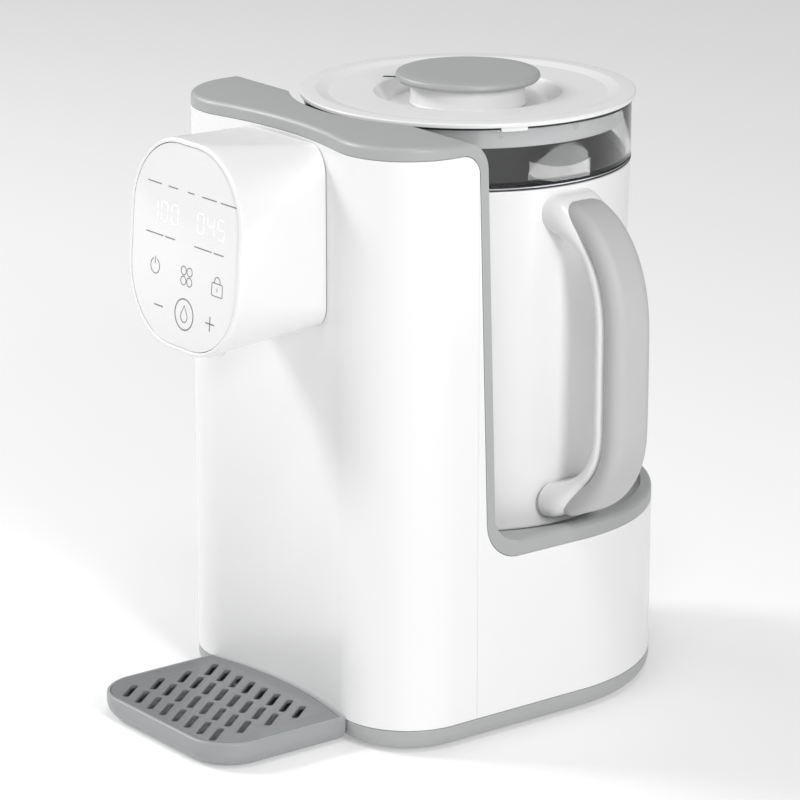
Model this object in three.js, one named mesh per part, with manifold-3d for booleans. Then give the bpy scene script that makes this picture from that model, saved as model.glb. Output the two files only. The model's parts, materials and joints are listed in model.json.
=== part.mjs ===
// Formula dispenser: a heated base with a narrow tower, a lift-off jug standing on it, a head with a
// touch panel and a spout over the bottle, and a drip tray that slides out from under the spout.
// Millimetres, +Z up. Plan positions are counted from the jug's upright axis: +X towards the jug's
// handle, -Y towards the touch panel. The last lines move that axis so that the origin is the centre
// of the footprint, on the table.

import * as THREE from 'three';
import { mergeVertices } from 'three/addons/utils/BufferGeometryUtils.js';
import Module from 'manifold-3d';

const wasm = await Module();
wasm.setup();

// ---------------------------------------------------------------- driving dimensions

const GAP = 0.3;                    // air left between two pieces that touch

const BODY_HALF_WIDTH = 94;         // the base is round behind, with straight sides
const CORNER_RADIUS = 36;           // upright front corners
const RECESS_RADIUS = 205;          // shallow upright hollow in the front face
const RECESS_Y = -111;              // deepest line of that hollow
const SHELL_WALL = 2.6;

const FOOT_HEIGHT = 1.5;
const BAND_TOP = 12;                // grey band round the bottom
const PLATFORM_EDGE = 90.5;         // top edge of the white shell round the jug
const LIP_TOP = 98.8;               // crest of the grey lip round the jug
const FLOOR_TOP = 94;               // the jug stands here
const COVER_EDGE = 293.3;           // top edge of the white shell on the tower
const COVER_TOP = 300;

const LEG_Y = -61.6;                // back edge of the tower's side, at the platform
const LEG_LEAN = 0.0268;            // it leans forward by this much for each mm of height
const TRIM_WIDTH = 5.2;             // grey trim along that edge
const TRIM_TOP_RADIUS = 10;         // white corner under the cover
const TRIM_LOW_RADIUS = 20;         // white corner down at the platform
const CRADLE_RADIUS = 88.5;         // round hollow that the jug drops into

const JACKET_TOP = 266.4;
const JACKET_RADIUS = 80.7;
const JACKET_LOW_RADIUS = 76;
const JACKET_WALL = 2;
const GLASS_RADIUS = 80.9;
const GLASS_TOP = 296.6;
const GLASS_WALL = 2.2;

const LID_RADIUS = 83;
const LID_TOP = 300.2;
const DISH_FLOOR = 292.8;
const NECK_RADIUS = 28.3;
const KNOB_RADIUS = 35.9;
const KNOB_TOP = 309;

const HANDLE_REACH = 130;           // outermost face of the grip
const GRIP_THICKNESS = 14;
const GRIP_HALF_WIDTH = 11.5;
const HANDLE_TOP = 251;             // height of the seam between spine and grip at the upper root
const HANDLE_LOW = 110;             // and at the lower root

const PANEL_HALF_WIDTH = 46;
const PANEL_HALF_HEIGHT = 50.9;
const PANEL_CENTRE_Z = 245.4;
const PANEL_RADIUS = 38;
const PANEL_Y = -170.9;             // panel face at its centre
const PANEL_LEAN = 0.0737;          // its top leans back
const HEAD_BACK_HALF_WIDTH = 37;
const HEAD_BACK_HALF_HEIGHT = 44.5;
const HEAD_BACK_Z = 247.5;
const HEAD_BACK_RADIUS = 13;
const HEAD_WALL = 2.2;
const SPOUT_Y = -155;

const TRAY_HALF_WIDTH = 56.3;
const TRAY_FRONT_Y = -194;
const TRAY_TOP = 13.5;
const TRAY_CORNER = 24;
const TRAY_UNDERCUT = 9;            // rounding of its lower edge

const PUMP_X = -50;
const PUMP_Y = -52;
const PUMP_RADIUS = 20;
const HOSE_RADIUS = 4;
const HOSE_BORE = 2.4;

// ---------------------------------------------------------------- making solids

const TURN_STEPS = 48;

// A closed three.js geometry as a solid, turned right side out.
function solid(geometry) {
  const bare = geometry.index ? geometry.toNonIndexed() : geometry.clone();
  bare.deleteAttribute('normal');
  bare.deleteAttribute('uv');
  const merged = mergeVertices(bare, 1e-4);
  const places = merged.attributes.position.array;
  const corner = new THREE.Vector3();
  const other = new THREE.Vector3();
  const third = new THREE.Vector3();
  const faces = [];
  let volume = 0;
  for (let i = 0; i < merged.index.count; i += 3) {
    const [a, b, c] = [merged.index.getX(i), merged.index.getX(i + 1), merged.index.getX(i + 2)];
    if (a === b || b === c || c === a) continue;
    corner.fromArray(places, 3 * a);
    other.fromArray(places, 3 * b);
    third.fromArray(places, 3 * c);
    volume += corner.dot(other.cross(third));
    faces.push([a, b, c]);
  }
  const outwards = volume < 0 ? faces.map(([a, b, c]) => [a, c, b]) : faces;
  const vertProperties = new Float32Array(places);
  const triVerts = new Uint32Array(outwards.flat());
  return new wasm.Manifold(new wasm.Mesh({ numProp: 3, vertProperties, triVerts }));
}

function geometryOf(piece) {
  const mesh = piece.getMesh();
  const geometry = new THREE.BufferGeometry();
  geometry.setAttribute('position', new THREE.BufferAttribute(new Float32Array(mesh.vertProperties), 3));
  geometry.setIndex(new THREE.BufferAttribute(new Uint32Array(mesh.triVerts), 1));
  geometry.computeVertexNormals();
  return geometry;
}

const quarter = Math.PI / 2;

function arc(centreX, centreY, radius, from, to, steps) {
  const points = [];
  for (let i = 0; i <= steps; i += 1) {
    const angle = from + (to - from) * i / steps;
    points.push(new THREE.Vector2(centreX + radius * Math.cos(angle), centreY + radius * Math.sin(angle)));
  }
  return points;
}

// An upright prism over a plan outline.
function upright(points, low, high) {
  const shape = new THREE.Shape(points);
  const geometry = new THREE.ExtrudeGeometry(shape, { depth: high - low, bevelEnabled: false });
  return solid(geometry.translate(0, 0, low));
}

// The same with both rims rounded: 'rise' is the height of the rounding and 'inset' its depth.
function softUpright(points, low, high, rise, inset, steps) {
  const geometry = new THREE.ExtrudeGeometry(new THREE.Shape(points), {
    depth: high - low - 2 * rise,
    bevelThickness: rise,
    bevelSize: inset,
    bevelOffset: -inset,
    bevelSegments: steps,
  });
  return solid(geometry.translate(0, 0, low + rise));
}

// A prism along X over an outline drawn in Y and Z.
function across(points, from, to) {
  const shape = new THREE.Shape(points);
  const geometry = new THREE.ExtrudeGeometry(shape, { depth: to - from, bevelEnabled: false });
  const turn = new THREE.Matrix4().set(0, 0, 1, from, 1, 0, 0, 0, 0, 1, 0, 0, 0, 0, 0, 1);
  return solid(geometry.applyMatrix4(turn));
}

// A turned piece from its half section, [radius, height] pairs that close on themselves or on the axis.
function turned(section, steps = TURN_STEPS, x = 0, y = 0) {
  const points = section.map(([radius, height]) => new THREE.Vector2(radius, height));
  if (section[0][0] > 0 || section.at(-1)[0] > 0) points.push(points[0].clone());
  const geometry = new THREE.LatheGeometry(points, steps);
  return solid(geometry.rotateX(Math.PI / 2).translate(x, y, 0));
}

function disc(radius, low, high, steps = TURN_STEPS, x = 0, y = 0) {
  return turned([[0, low], [radius, low], [radius, high], [0, high]], steps, x, y);
}

function block(lowX, lowY, lowZ, highX, highY, highZ) {
  const geometry = new THREE.BoxGeometry(highX - lowX, highY - lowY, highZ - lowZ);
  return solid(geometry.translate((lowX + highX) / 2, (lowY + highY) / 2, (lowZ + highZ) / 2));
}

// A solid through closed rings of points, each ring with the same number of points.
function loft(rings) {
  const count = rings[0].length;
  const places = rings.flat().flatMap((point) => point.toArray());
  const faces = [];
  for (let ring = 0; ring < rings.length - 1; ring += 1) {
    for (let i = 0; i < count; i += 1) {
      const a = ring * count + i;
      const b = ring * count + (i + 1) % count;
      faces.push(a, b, b + count, a, b + count, a + count);
    }
  }
  [[0, 1], [rings.length - 1, -1]].forEach(([ring, side]) => {
    const centre = new THREE.Vector3();
    rings[ring].forEach((point) => centre.addScaledVector(point, 1 / count));
    const middle = places.length / 3;
    places.push(...centre.toArray());
    for (let i = 0; i < count; i += 1) {
      const pair = [ring * count + i, ring * count + (i + 1) % count];
      faces.push(middle, pair[side > 0 ? 1 : 0], pair[side > 0 ? 0 : 1]);
    }
  });
  const geometry = new THREE.BufferGeometry();
  geometry.setAttribute('position', new THREE.Float32BufferAttribute(places, 3));
  geometry.setIndex(faces);
  return solid(geometry);
}

// Corner-rounded rectangle about the origin.
function roundedRectangle(halfWidth, halfHeight, radius, steps) {
  const x = halfWidth - radius;
  const y = halfHeight - radius;
  return [[x, y], [-x, y], [-x, -y], [x, -y]].flatMap(
    ([cx, cy], i) => arc(cx, cy, radius, i * quarter, (i + 1) * quarter, steps));
}

function union(pieces) {
  return pieces.reduce((whole, piece) => whole.add(piece));
}

const machine = new THREE.Group();

function place(name, piece, color, roughness = 0.5, metalness = 0, extra = {}) {
  const material = new THREE.MeshStandardMaterial({ color, roughness, metalness, ...extra });
  const mesh = new THREE.Mesh(geometryOf(piece), material);
  mesh.name = name;
  machine.add(mesh);
}

const WHITE = 0xf4f4f3;
const GREY = 0xa8a9aa;
const DARK = 0x2b2c2e;
const STEEL = 0xb9bcc0;
const RUBBER = 0x3a3a3c;
const SILICONE = 0xd9d6cf;
const BOARD = 0x2f6b45;
const COPPER = 0xa5662f;

// ---------------------------------------------------------------- body outline and side profile

const cornerX = BODY_HALF_WIDTH - CORNER_RADIUS;
const recessCentreY = RECESS_Y - RECESS_RADIUS;
const cornerY = recessCentreY + Math.sqrt((RECESS_RADIUS + CORNER_RADIUS) ** 2 - cornerX ** 2);
const recessAngle = Math.atan2(cornerX, cornerY - recessCentreY);

// Plan of the body, moved inwards by 'inset': every arc keeps its centre.
function bodyOutline(inset = 0) {
  const corner = CORNER_RADIUS - inset;
  const recess = RECESS_RADIUS + inset;
  return [
    ...arc(0, 0, BODY_HALF_WIDTH - inset, 0, 2 * quarter, 24),
    ...arc(-cornerX, cornerY, corner, 2 * quarter, 3 * quarter + recessAngle, 9),
    ...arc(0, recessCentreY, recess, quarter + recessAngle, quarter - recessAngle, 8).slice(1, -1),
    ...arc(cornerX, cornerY, corner, 3 * quarter - recessAngle, 4 * quarter, 9),
  ];
}

function legY(height, offset) {
  return LEG_Y + offset - LEG_LEAN * (height - PLATFORM_EDGE);
}

const BEHIND = 120;                 // past the body, for cutting

// Side view of the body below and in front of the jug, with both corners rounded: 'offset' moves the
// tower's back edge backwards, which opens the upper corner and closes the lower one.
function sideProfile(offset, top, platform, low) {
  const upper = TRIM_TOP_RADIUS + offset;
  const lower = TRIM_LOW_RADIUS - offset;
  return [
    new THREE.Vector2(-BEHIND - 10, low),
    new THREE.Vector2(BEHIND, low),
    new THREE.Vector2(BEHIND, platform),
    ...arc(legY(platform, offset) + lower, platform + lower, lower, 3 * quarter, 2 * quarter, 8),
    ...arc(legY(top, offset) - upper, top - upper, upper, 0, quarter, 8),
    new THREE.Vector2(-BEHIND - 10, top),
  ];
}

// ---------------------------------------------------------------- base pan, feet and screws

const PAN_FLOOR = 3;
const PAN_RISE = 7;                 // rounding of the pan's lower edge
const PAN_INSET = 4.8;
{
  const hollow = upright(bodyOutline(SHELL_WALL), FOOT_HEIGHT + GAP + PAN_FLOOR, BAND_TOP + 20);
  const above = block(-BEHIND, -2 * BEHIND, BAND_TOP - GAP, BEHIND, BEHIND, BAND_TOP + 60);
  const band = softUpright(bodyOutline(), FOOT_HEIGHT + GAP, BAND_TOP + 20, PAN_RISE, PAN_INSET, 3);
  place('base_pan', band.subtract(above).subtract(hollow), GREY, 0.55);
}

const FOOT_PLACES = [[-62, -76], [62, -76], [-52, 52], [52, 52]];
const SCREW_PLACES = [[-40, -88], [40, -88], [-30, 74], [30, 74]];
FOOT_PLACES.forEach(([x, y], i) => {
  place(`rubber_foot_${i + 1}`, disc(9, 0, FOOT_HEIGHT, 16, x, y), RUBBER, 0.9);
});
// Each screw stands on the pan's floor and runs up into a boss of the shell.
SCREW_PLACES.forEach(([x, y], i) => {
  const low = FOOT_HEIGHT + PAN_FLOOR + 2 * GAP;
  const screw = turned([
    [0, low], [3.5, low], [3.5, low + 2], [1.6, low + 2.6], [1.6, low + 14], [0, low + 16],
  ], 10, x, y);
  place(`base_screw_${i + 1}`, screw, STEEL, 0.35, 1);
});

// ---------------------------------------------------------------- white housing

{
  const ring = upright(bodyOutline(), BAND_TOP, COVER_EDGE).subtract(
    upright(bodyOutline(SHELL_WALL), BAND_TOP - 1, COVER_EDGE + 1));
  const silhouette = across(sideProfile(0, COVER_EDGE, PLATFORM_EDGE, BAND_TOP - 1), -BEHIND, BEHIND);
  // window behind the head for hose and wires, and the opening for the mains inlet
  const window = block(-16, -BEHIND, 226, 16, -90, 250);
  const inletOpening = block(-14, 70, 22, 14, BEHIND, 42);
  place('housing_shell', ring.intersect(silhouette).subtract(window).subtract(inletOpening), WHITE, 0.3);
}

// ---------------------------------------------------------------- grey cradle: top, trim, lip and floor

const WALL_THICKNESS = 2;           // curved wall behind the jug
const TOP_PLATE = 3;
const COVER_ROUNDING = 2.4;
const LIP_ROUNDING = 3;
const HEATER_OPENING = 52;
{
  const outer = across(sideProfile(TRIM_WIDTH, COVER_TOP, LIP_TOP, BAND_TOP), -BEHIND, BEHIND);
  const edge = PLATFORM_EDGE + GAP;
  const white = across(sideProfile(GAP, COVER_EDGE + GAP, edge, 0), -BEHIND, BEHIND);
  const lipJoin = legY(LIP_TOP, TRIM_WIDTH) + TRIM_LOW_RADIUS - TRIM_WIDTH;
  const frontOnly = block(-BEHIND, -2 * BEHIND, 0, BEHIND, lipJoin, COVER_TOP + 1);
  const tall = softUpright(bodyOutline(), 20, COVER_TOP, COVER_ROUNDING, COVER_ROUNDING, 3)
    .intersect(frontOnly);
  const low = softUpright(bodyOutline(), 20, LIP_TOP, LIP_ROUNDING, LIP_ROUNDING, 3);
  const band = outer.subtract(white).intersect(tall.add(low));
  const underTop = across(sideProfile(-1, COVER_TOP - TOP_PLATE, PLATFORM_EDGE, 0), -BEHIND, BEHIND);
  const rim = disc(CRADLE_RADIUS + WALL_THICKNESS, COVER_EDGE - 5, COVER_TOP, 64);
  const pocket = upright(bodyOutline(SHELL_WALL), COVER_EDGE - 2, COVER_TOP - TOP_PLATE)
    .intersect(underTop)
    .subtract(rim);
  const floor = disc(CRADLE_RADIUS + WALL_THICKNESS, edge, FLOOR_TOP, 64);
  const hollow = disc(CRADLE_RADIUS, FLOOR_TOP, COVER_TOP + 5, 64);
  const heaterHole = disc(HEATER_OPENING, edge - 10, FLOOR_TOP + 5, 28);
  place('cradle', band.subtract(pocket).add(floor).subtract(hollow).subtract(heaterHole), GREY, 0.5);

  // The tower's back is a curved wall of its own, which closes the tower once its works are in.
  const sheet = turned([
    [CRADLE_RADIUS, FLOOR_TOP + GAP], [CRADLE_RADIUS + WALL_THICKNESS, FLOOR_TOP + GAP],
    [CRADLE_RADIUS + WALL_THICKNESS, COVER_EDGE], [CRADLE_RADIUS, COVER_EDGE],
  ], 64);
  const tower = across(sideProfile(0, COVER_EDGE, PLATFORM_EDGE, 0), -BEHIND, BEHIND);
  place('tower_back', sheet.intersect(tower), GREY, 0.5);
}

// ---------------------------------------------------------------- head with panel, board and spout

// Rounded-rectangle ring across the head: 'forward' runs from 0 at its root to 1 at the panel.
const HEAD_ROOT_Y = -112;
function headRing(forward, inset, radiusSteps = 8) {
  const mix = (back, front) => back + (front - back) * forward;
  const halfWidth = mix(HEAD_BACK_HALF_WIDTH, PANEL_HALF_WIDTH) - inset;
  const halfHeight = mix(HEAD_BACK_HALF_HEIGHT, PANEL_HALF_HEIGHT) - inset;
  const radius = mix(HEAD_BACK_RADIUS, PANEL_RADIUS) - inset;
  const middle = mix(HEAD_BACK_Z, PANEL_CENTRE_Z);
  return roundedRectangle(halfWidth, halfHeight, radius, radiusSteps).map(({ x, y }) => {
    const lean = PANEL_LEAN * y * forward;
    return new THREE.Vector3(x, mix(HEAD_ROOT_Y, PANEL_Y) + lean, middle + y);
  });
}

const PANEL_DEPTH = 2;              // panel thickness along the head
const PANEL_SUNK = 0.4;             // the panel lies this far behind the shell's rim
const BOARD_BACK = 7.6;
const BOARD_THICKNESS = 1.6;
const BOARD_INSET = 9;
const depthToForward = (depth) => 1 - depth / (HEAD_ROOT_Y - PANEL_Y);
const nozzleHole = disc(7.3, 180, 212, 24, 0, SPOUT_Y);
{
  const outer = loft([headRing(-0.12, 0), headRing(1, 0)]);
  const inner = loft([headRing(-0.2, HEAD_WALL), headRing(1.1, HEAD_WALL)]);
  const body = upright(bodyOutline(-GAP), 100, 320);
  place('head_shell', outer.subtract(inner).subtract(body).subtract(nozzleHole), WHITE, 0.3);

  const plate = [PANEL_SUNK + PANEL_DEPTH, PANEL_SUNK].map(
    (depth) => headRing(depthToForward(depth), HEAD_WALL + GAP));
  place('touch_panel', loft(plate), WHITE, 0.12);

  const board = [BOARD_BACK, BOARD_BACK - BOARD_THICKNESS].map(
    (depth) => headRing(depthToForward(depth), BOARD_INSET, 3));
  place('display_board', loft(board), BOARD, 0.6);
}
const SPOUT_TIP = 190;
const SPOUT_RADIUS = 6.8;
const SPOUT_BORE = 2.5;
{
  const flange = SPOUT_TIP + 11.8;
  const hosePort = SPOUT_TIP + 20;
  place('spout', turned([
    [SPOUT_BORE, SPOUT_TIP], [SPOUT_RADIUS - 1.3, SPOUT_TIP], [SPOUT_RADIUS, SPOUT_TIP + 3],
    [SPOUT_RADIUS, flange], [10, flange], [10, flange + 2], [3.8, flange + 2], [3.8, hosePort],
    [SPOUT_BORE, hosePort],
  ], 16, 0, SPOUT_Y), WHITE, 0.4);
}

// ---------------------------------------------------------------- heater, socket and valve lifter

const HEATER_LOW = 84;
const HEATER_TOP = 95.2;
const HEATER_RADIUS = 51;
const FLANGE_RADIUS = 60;
const FLANGE_TOP = HEATER_LOW + 2.4;
const SOCKET_TOP = 95;
const PLUNGER_TOP = 95.9;
const BARB_RADIUS = 3.4;
const BARB_BORE = 2;
const BARB_HEIGHT = 77;
place('heater_plate', turned([
  [15, HEATER_LOW], [FLANGE_RADIUS, HEATER_LOW], [FLANGE_RADIUS, FLANGE_TOP], [HEATER_RADIUS, FLANGE_TOP],
  [HEATER_RADIUS, HEATER_TOP], [15, HEATER_TOP],
], 28), STEEL, 0.3, 1);
place('heater_gasket', turned([
  [HEATER_RADIUS + 0.8, FLANGE_TOP + 0.4], [FLANGE_RADIUS, FLANGE_TOP + 0.4],
  [FLANGE_RADIUS, PLATFORM_EDGE - 0.1], [HEATER_RADIUS + 0.8, PLATFORM_EDGE - 0.1],
], 28), SILICONE, 0.8);
place('temperature_probe', disc(6, 77, HEATER_LOW - GAP, 14, 34, 0), STEEL, 0.3, 1);
{
  const cup = turned([
    [2.5, 68], [13.5, 68], [13.5, SOCKET_TOP], [9.5, SOCKET_TOP], [9.5, 72], [2.5, 72],
  ], 16);
  const barb = new THREE.CylinderGeometry(BARB_RADIUS, BARB_RADIUS, 14, 12);
  const bore = new THREE.CylinderGeometry(BARB_BORE, BARB_BORE, 20, 10);
  barb.rotateZ(quarter).translate(-18.5, 0, BARB_HEIGHT);
  bore.rotateZ(quarter).translate(-16.5, 0, BARB_HEIGHT);
  place('outlet_socket', cup.add(solid(barb)).subtract(solid(bore)), WHITE, 0.5);
}
place('socket_seal', turned([
  [9.8, SOCKET_TOP + GAP], [13.2, SOCKET_TOP + GAP], [12.6, SOCKET_TOP + 1.6], [10.2, SOCKET_TOP + 1.6],
], 24), SILICONE, 0.8);
place('solenoid_coil', turned([[6.6, 40], [16, 40], [16, 66], [6.6, 66]], 16), COPPER, 0.4, 0.8);
place('valve_plunger', turned([
  [0, 38], [6, 38], [6, 60], [2, 62], [2, PLUNGER_TOP], [0, PLUNGER_TOP],
], 16), STEEL, 0.35, 1);

// ---------------------------------------------------------------- pump

const PUMP_LOW = 7;
const CHAMBER_LOW = 10;
const PUMP_TOP = 32;
const SHAFT_HOLE = 1.9;
const INLET_HEIGHT = 24;
const OUTLET_HEIGHT = 17;

// A short tube out of the pump, along Y.
function port(radius, length, offset, height) {
  const sides = radius > BARB_BORE ? 12 : 10;
  const tube = new THREE.CylinderGeometry(radius, radius, length, sides);
  return solid(tube.translate(PUMP_X, PUMP_Y + offset, height));
}
{
  const cup = turned([
    [SHAFT_HOLE, PUMP_TOP], [PUMP_RADIUS, PUMP_TOP], [PUMP_RADIUS, CHAMBER_LOW],
    [PUMP_RADIUS - 3.5, CHAMBER_LOW], [PUMP_RADIUS - 3.5, PUMP_TOP - 4], [SHAFT_HOLE, PUMP_TOP - 4],
  ], 20, PUMP_X, PUMP_Y);
  const tubes = port(BARB_RADIUS, 14, 24, INLET_HEIGHT).add(port(BARB_RADIUS, 12, -23, OUTLET_HEIGHT));
  const bores = port(BARB_BORE, 22, 24, INLET_HEIGHT).add(port(BARB_BORE, 20, -23, OUTLET_HEIGHT));
  place('pump_housing', cup.add(tubes).subtract(bores), DARK, 0.5);
}
place('pump_cover', disc(PUMP_RADIUS, PUMP_LOW, CHAMBER_LOW - GAP, 20, PUMP_X, PUMP_Y), DARK, 0.5);
place('pump_motor', turned([
  [SHAFT_HOLE, PUMP_TOP + GAP], [14, PUMP_TOP + GAP], [14, 66], [0, 66], [0, 46], [SHAFT_HOLE, 46],
], 16, PUMP_X, PUMP_Y), STEEL, 0.35, 0.9);
{
  const rotor = turned([
    [0, 12], [15, 12], [15, 14], [4, 14], [4, 24], [1.6, 24], [1.6, 44], [0, 44],
  ], 16, PUMP_X, PUMP_Y);
  const blades = Array.from({ length: 6 }, (unused, i) => {
    const blade = new THREE.BoxGeometry(11, 1.4, 8.5).translate(8.5, 0, 17.7).rotateZ(i * Math.PI / 3);
    return solid(blade.translate(PUMP_X, PUMP_Y, 0));
  });
  place('pump_impeller', rotor.add(union(blades)), WHITE, 0.5);
}

// Silicone hose along a smooth route.
function hose(name, route, steps) {
  const points = route.map((point) => new THREE.Vector3(...point));
  const path = new THREE.CatmullRomCurve3(points, false, 'centripetal');
  const section = new THREE.Shape().absarc(0, 0, HOSE_RADIUS, 0, 2 * Math.PI, false);
  section.holes.push(new THREE.Path().absarc(0, 0, HOSE_BORE, 0, 2 * Math.PI, true));
  const geometry = new THREE.ExtrudeGeometry(section, { steps, extrudePath: path, curveSegments: 4 });
  place(name, solid(geometry), SILICONE, 0.6);
}
const BARB_END = 25.5 + 2 * GAP;
hose('suction_hose', [
  [-BARB_END, 0, BARB_HEIGHT], [-BARB_END - 6, 0, BARB_HEIGHT], [-44, 0, 66], [PUMP_X, 0, 46],
  [PUMP_X, -4, 30], [PUMP_X, PUMP_Y + 38, INLET_HEIGHT], [PUMP_X, PUMP_Y + 31 + 2 * GAP, INLET_HEIGHT],
], 18);
hose('pressure_hose', [
  [PUMP_X, PUMP_Y - 29 - 2 * GAP, OUTLET_HEIGHT], [PUMP_X, PUMP_Y - 35, OUTLET_HEIGHT], [PUMP_X, -95, 25],
  [PUMP_X, -98, 40], [PUMP_X, -98, 90], [PUMP_X, -98, 170],
  [-40, -101, 215], [-18, -102, 236], [-4, -114, 240], [0, -138, 238], [0, -152, 229], [0, SPOUT_Y, 219],
  [0, SPOUT_Y, SPOUT_TIP + 20 + 2 * GAP],
], 32);

// ---------------------------------------------------------------- electrics

{
  const plate = block(14, -80, 12, 74, -32, 13.6);
  const transformer = block(20, -74, 13, 44, -50, 33);
  const capacitors = [[54, -70], [66, -70]].map(([x, y]) => disc(5, 13, 31, 12, x, y));
  const relay = block(50, -56, 13, 70, -40, 28);
  place('power_board', union([plate, transformer, relay, ...capacitors]), BOARD, 0.6);
}
{
  const shell = block(-13.7, 80, 22.3, 13.7, 91.5, 41.7);
  const mouth = block(-10, 83, 26, 10, 100, 38);
  const pins = [-5, 5].map((x) => solid(
    new THREE.CylinderGeometry(1.2, 1.2, 9, 8).translate(x, 86.5, 32)));
  place('mains_inlet', shell.subtract(mouth).add(union(pins)), DARK, 0.5);
}

// ---------------------------------------------------------------- jug

const JACKET_LOW = FLOOR_TOP + GAP;
const BASE_PLATE_LOW = 95.8;
const COLLAR_TOP = JACKET_TOP + 2.4;
const JACKET_TAPER = (JACKET_RADIUS - JACKET_LOW_RADIUS) / (JACKET_TOP - JACKET_LOW);
const BASE_HOLE = 67;               // opening in the jacket's foot, over the steel plate
const GLASS_FOOT = 98;
const jacketRadius = (z) => JACKET_LOW_RADIUS + JACKET_TAPER * (z - JACKET_LOW);
const liningRadius = (z) => jacketRadius(z) - JACKET_WALL - GAP;
{
  place('jug_jacket', turned([
    [BASE_HOLE, JACKET_LOW], [jacketRadius(JACKET_LOW) - 1.5, JACKET_LOW],
    [jacketRadius(JACKET_LOW + 2), JACKET_LOW + 2], [JACKET_RADIUS, JACKET_TOP],
    [JACKET_RADIUS - JACKET_WALL, JACKET_TOP], [jacketRadius(JACKET_LOW + 4) - JACKET_WALL, JACKET_LOW + 3.2],
    [BASE_HOLE, JACKET_LOW + 3.2],
  ], 48), WHITE, 0.3);

  const collarInside = GLASS_RADIUS - 2;
  place('jug_collar', turned([
    [collarInside, JACKET_TOP + GAP], [GLASS_RADIUS, JACKET_TOP + GAP],
    [GLASS_RADIUS, COLLAR_TOP - GAP], [collarInside, COLLAR_TOP - GAP],
  ], 48), DARK, 0.4);

  const bend = GLASS_FOOT + 5;
  const neck = liningRadius(JACKET_TOP);
  place('jug_glass', turned([
    [BASE_HOLE - 5, GLASS_FOOT], [liningRadius(bend) - 4, GLASS_FOOT], [liningRadius(bend), bend],
    [neck, JACKET_TOP], [neck, COLLAR_TOP], [GLASS_RADIUS, COLLAR_TOP], [GLASS_RADIUS, GLASS_TOP],
    [GLASS_RADIUS - GLASS_WALL, GLASS_TOP], [GLASS_RADIUS - GLASS_WALL, COLLAR_TOP + GLASS_WALL],
    [neck - GLASS_WALL, COLLAR_TOP], [liningRadius(bend) - GLASS_WALL, bend],
    [liningRadius(bend) - 6, GLASS_FOOT + GLASS_WALL], [BASE_HOLE - 5, GLASS_FOOT + GLASS_WALL],
  ], 48), 0x8f9497, 0.08, 0, { transparent: true, opacity: 0.35 });

  const seatRadius = 12.8;
  place('jug_base_plate', turned([
    [seatRadius + 0.4, BASE_PLATE_LOW], [66, BASE_PLATE_LOW], [66, GLASS_FOOT - GAP],
    [seatRadius + 0.4, GLASS_FOOT - GAP],
  ], 28), STEEL, 0.3, 1);
  place('valve_seat', turned([
    [5, 96.9], [seatRadius, 96.9], [seatRadius, GLASS_FOOT], [16, GLASS_FOOT], [16, GLASS_FOOT + 2],
    [5, GLASS_FOOT + 2],
  ], 16), SILICONE, 0.6);
  place('valve_poppet', turned([
    [0, PLUNGER_TOP + GAP], [2, PLUNGER_TOP + GAP], [2, GLASS_FOOT + 2.3], [8, GLASS_FOOT + 2.3],
    [8, GLASS_FOOT + 4], [0, GLASS_FOOT + 5.5],
  ], 20), STEEL, 0.35, 1);
}

// ---------------------------------------------------------------- handle

// The handle is a white spine with a soft grey grip over its outside. The seam between them runs out from
// the jacket, down and back in, in the plane of X and Z: 'turn' goes from 0 at its upper root to 1 at the
// lower one.
const SPINE_THICKNESS = 5.5;
const SPINE_HALF_WIDTH = 10.8;
const ROOT_RISE = 9;                // the spine swells round the grip's ends
const ROOT_SPREAD = 5.4;
const seamX = HANDLE_REACH - GRIP_THICKNESS;
const seamPath = new THREE.CurvePath();
{
  const point = (x, z) => new THREE.Vector3(x, 0, z);
  const root = 80;
  const shoulder = 99;
  const upperBend = point(seamX, HANDLE_TOP - 51);
  const lowerBend = point(seamX, HANDLE_LOW + 42);
  seamPath.add(new THREE.CubicBezierCurve3(
    point(root, HANDLE_TOP), point(shoulder, HANDLE_TOP - 3), point(seamX, upperBend.z + 34), upperBend));
  seamPath.add(new THREE.LineCurve3(upperBend, lowerBend));
  seamPath.add(new THREE.CubicBezierCurve3(
    lowerBend, point(seamX, lowerBend.z - 24), point(shoulder, HANDLE_LOW + 7), point(root, HANDLE_LOW)));
}

// Ring across the handle: 'inner' and 'outer' are distances outwards from the seam.
function handleRing(turn, inner, outer, halfWidth) {
  const centre = seamPath.getPoint(turn);
  const along = seamPath.getTangent(turn);
  const outwards = new THREE.Vector3(-along.z, 0, along.x);
  const radius = Math.min(halfWidth, (outer - inner) / 2) * 0.9;
  return roundedRectangle((outer - inner) / 2, halfWidth, radius, 3).map(({ x, y }) => centre.clone()
    .addScaledVector(outwards, x + (inner + outer) / 2)
    .add(new THREE.Vector3(0, y, 0)));
}

// The grip is thickest half way down and thinner at both roots.
function gripDepth(turn) {
  const rootDepth = GRIP_THICKNESS - (turn < 0.5 ? 2 : 4);
  return rootDepth + (GRIP_THICKNESS - rootDepth) * Math.sin(Math.PI * turn);
}

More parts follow.
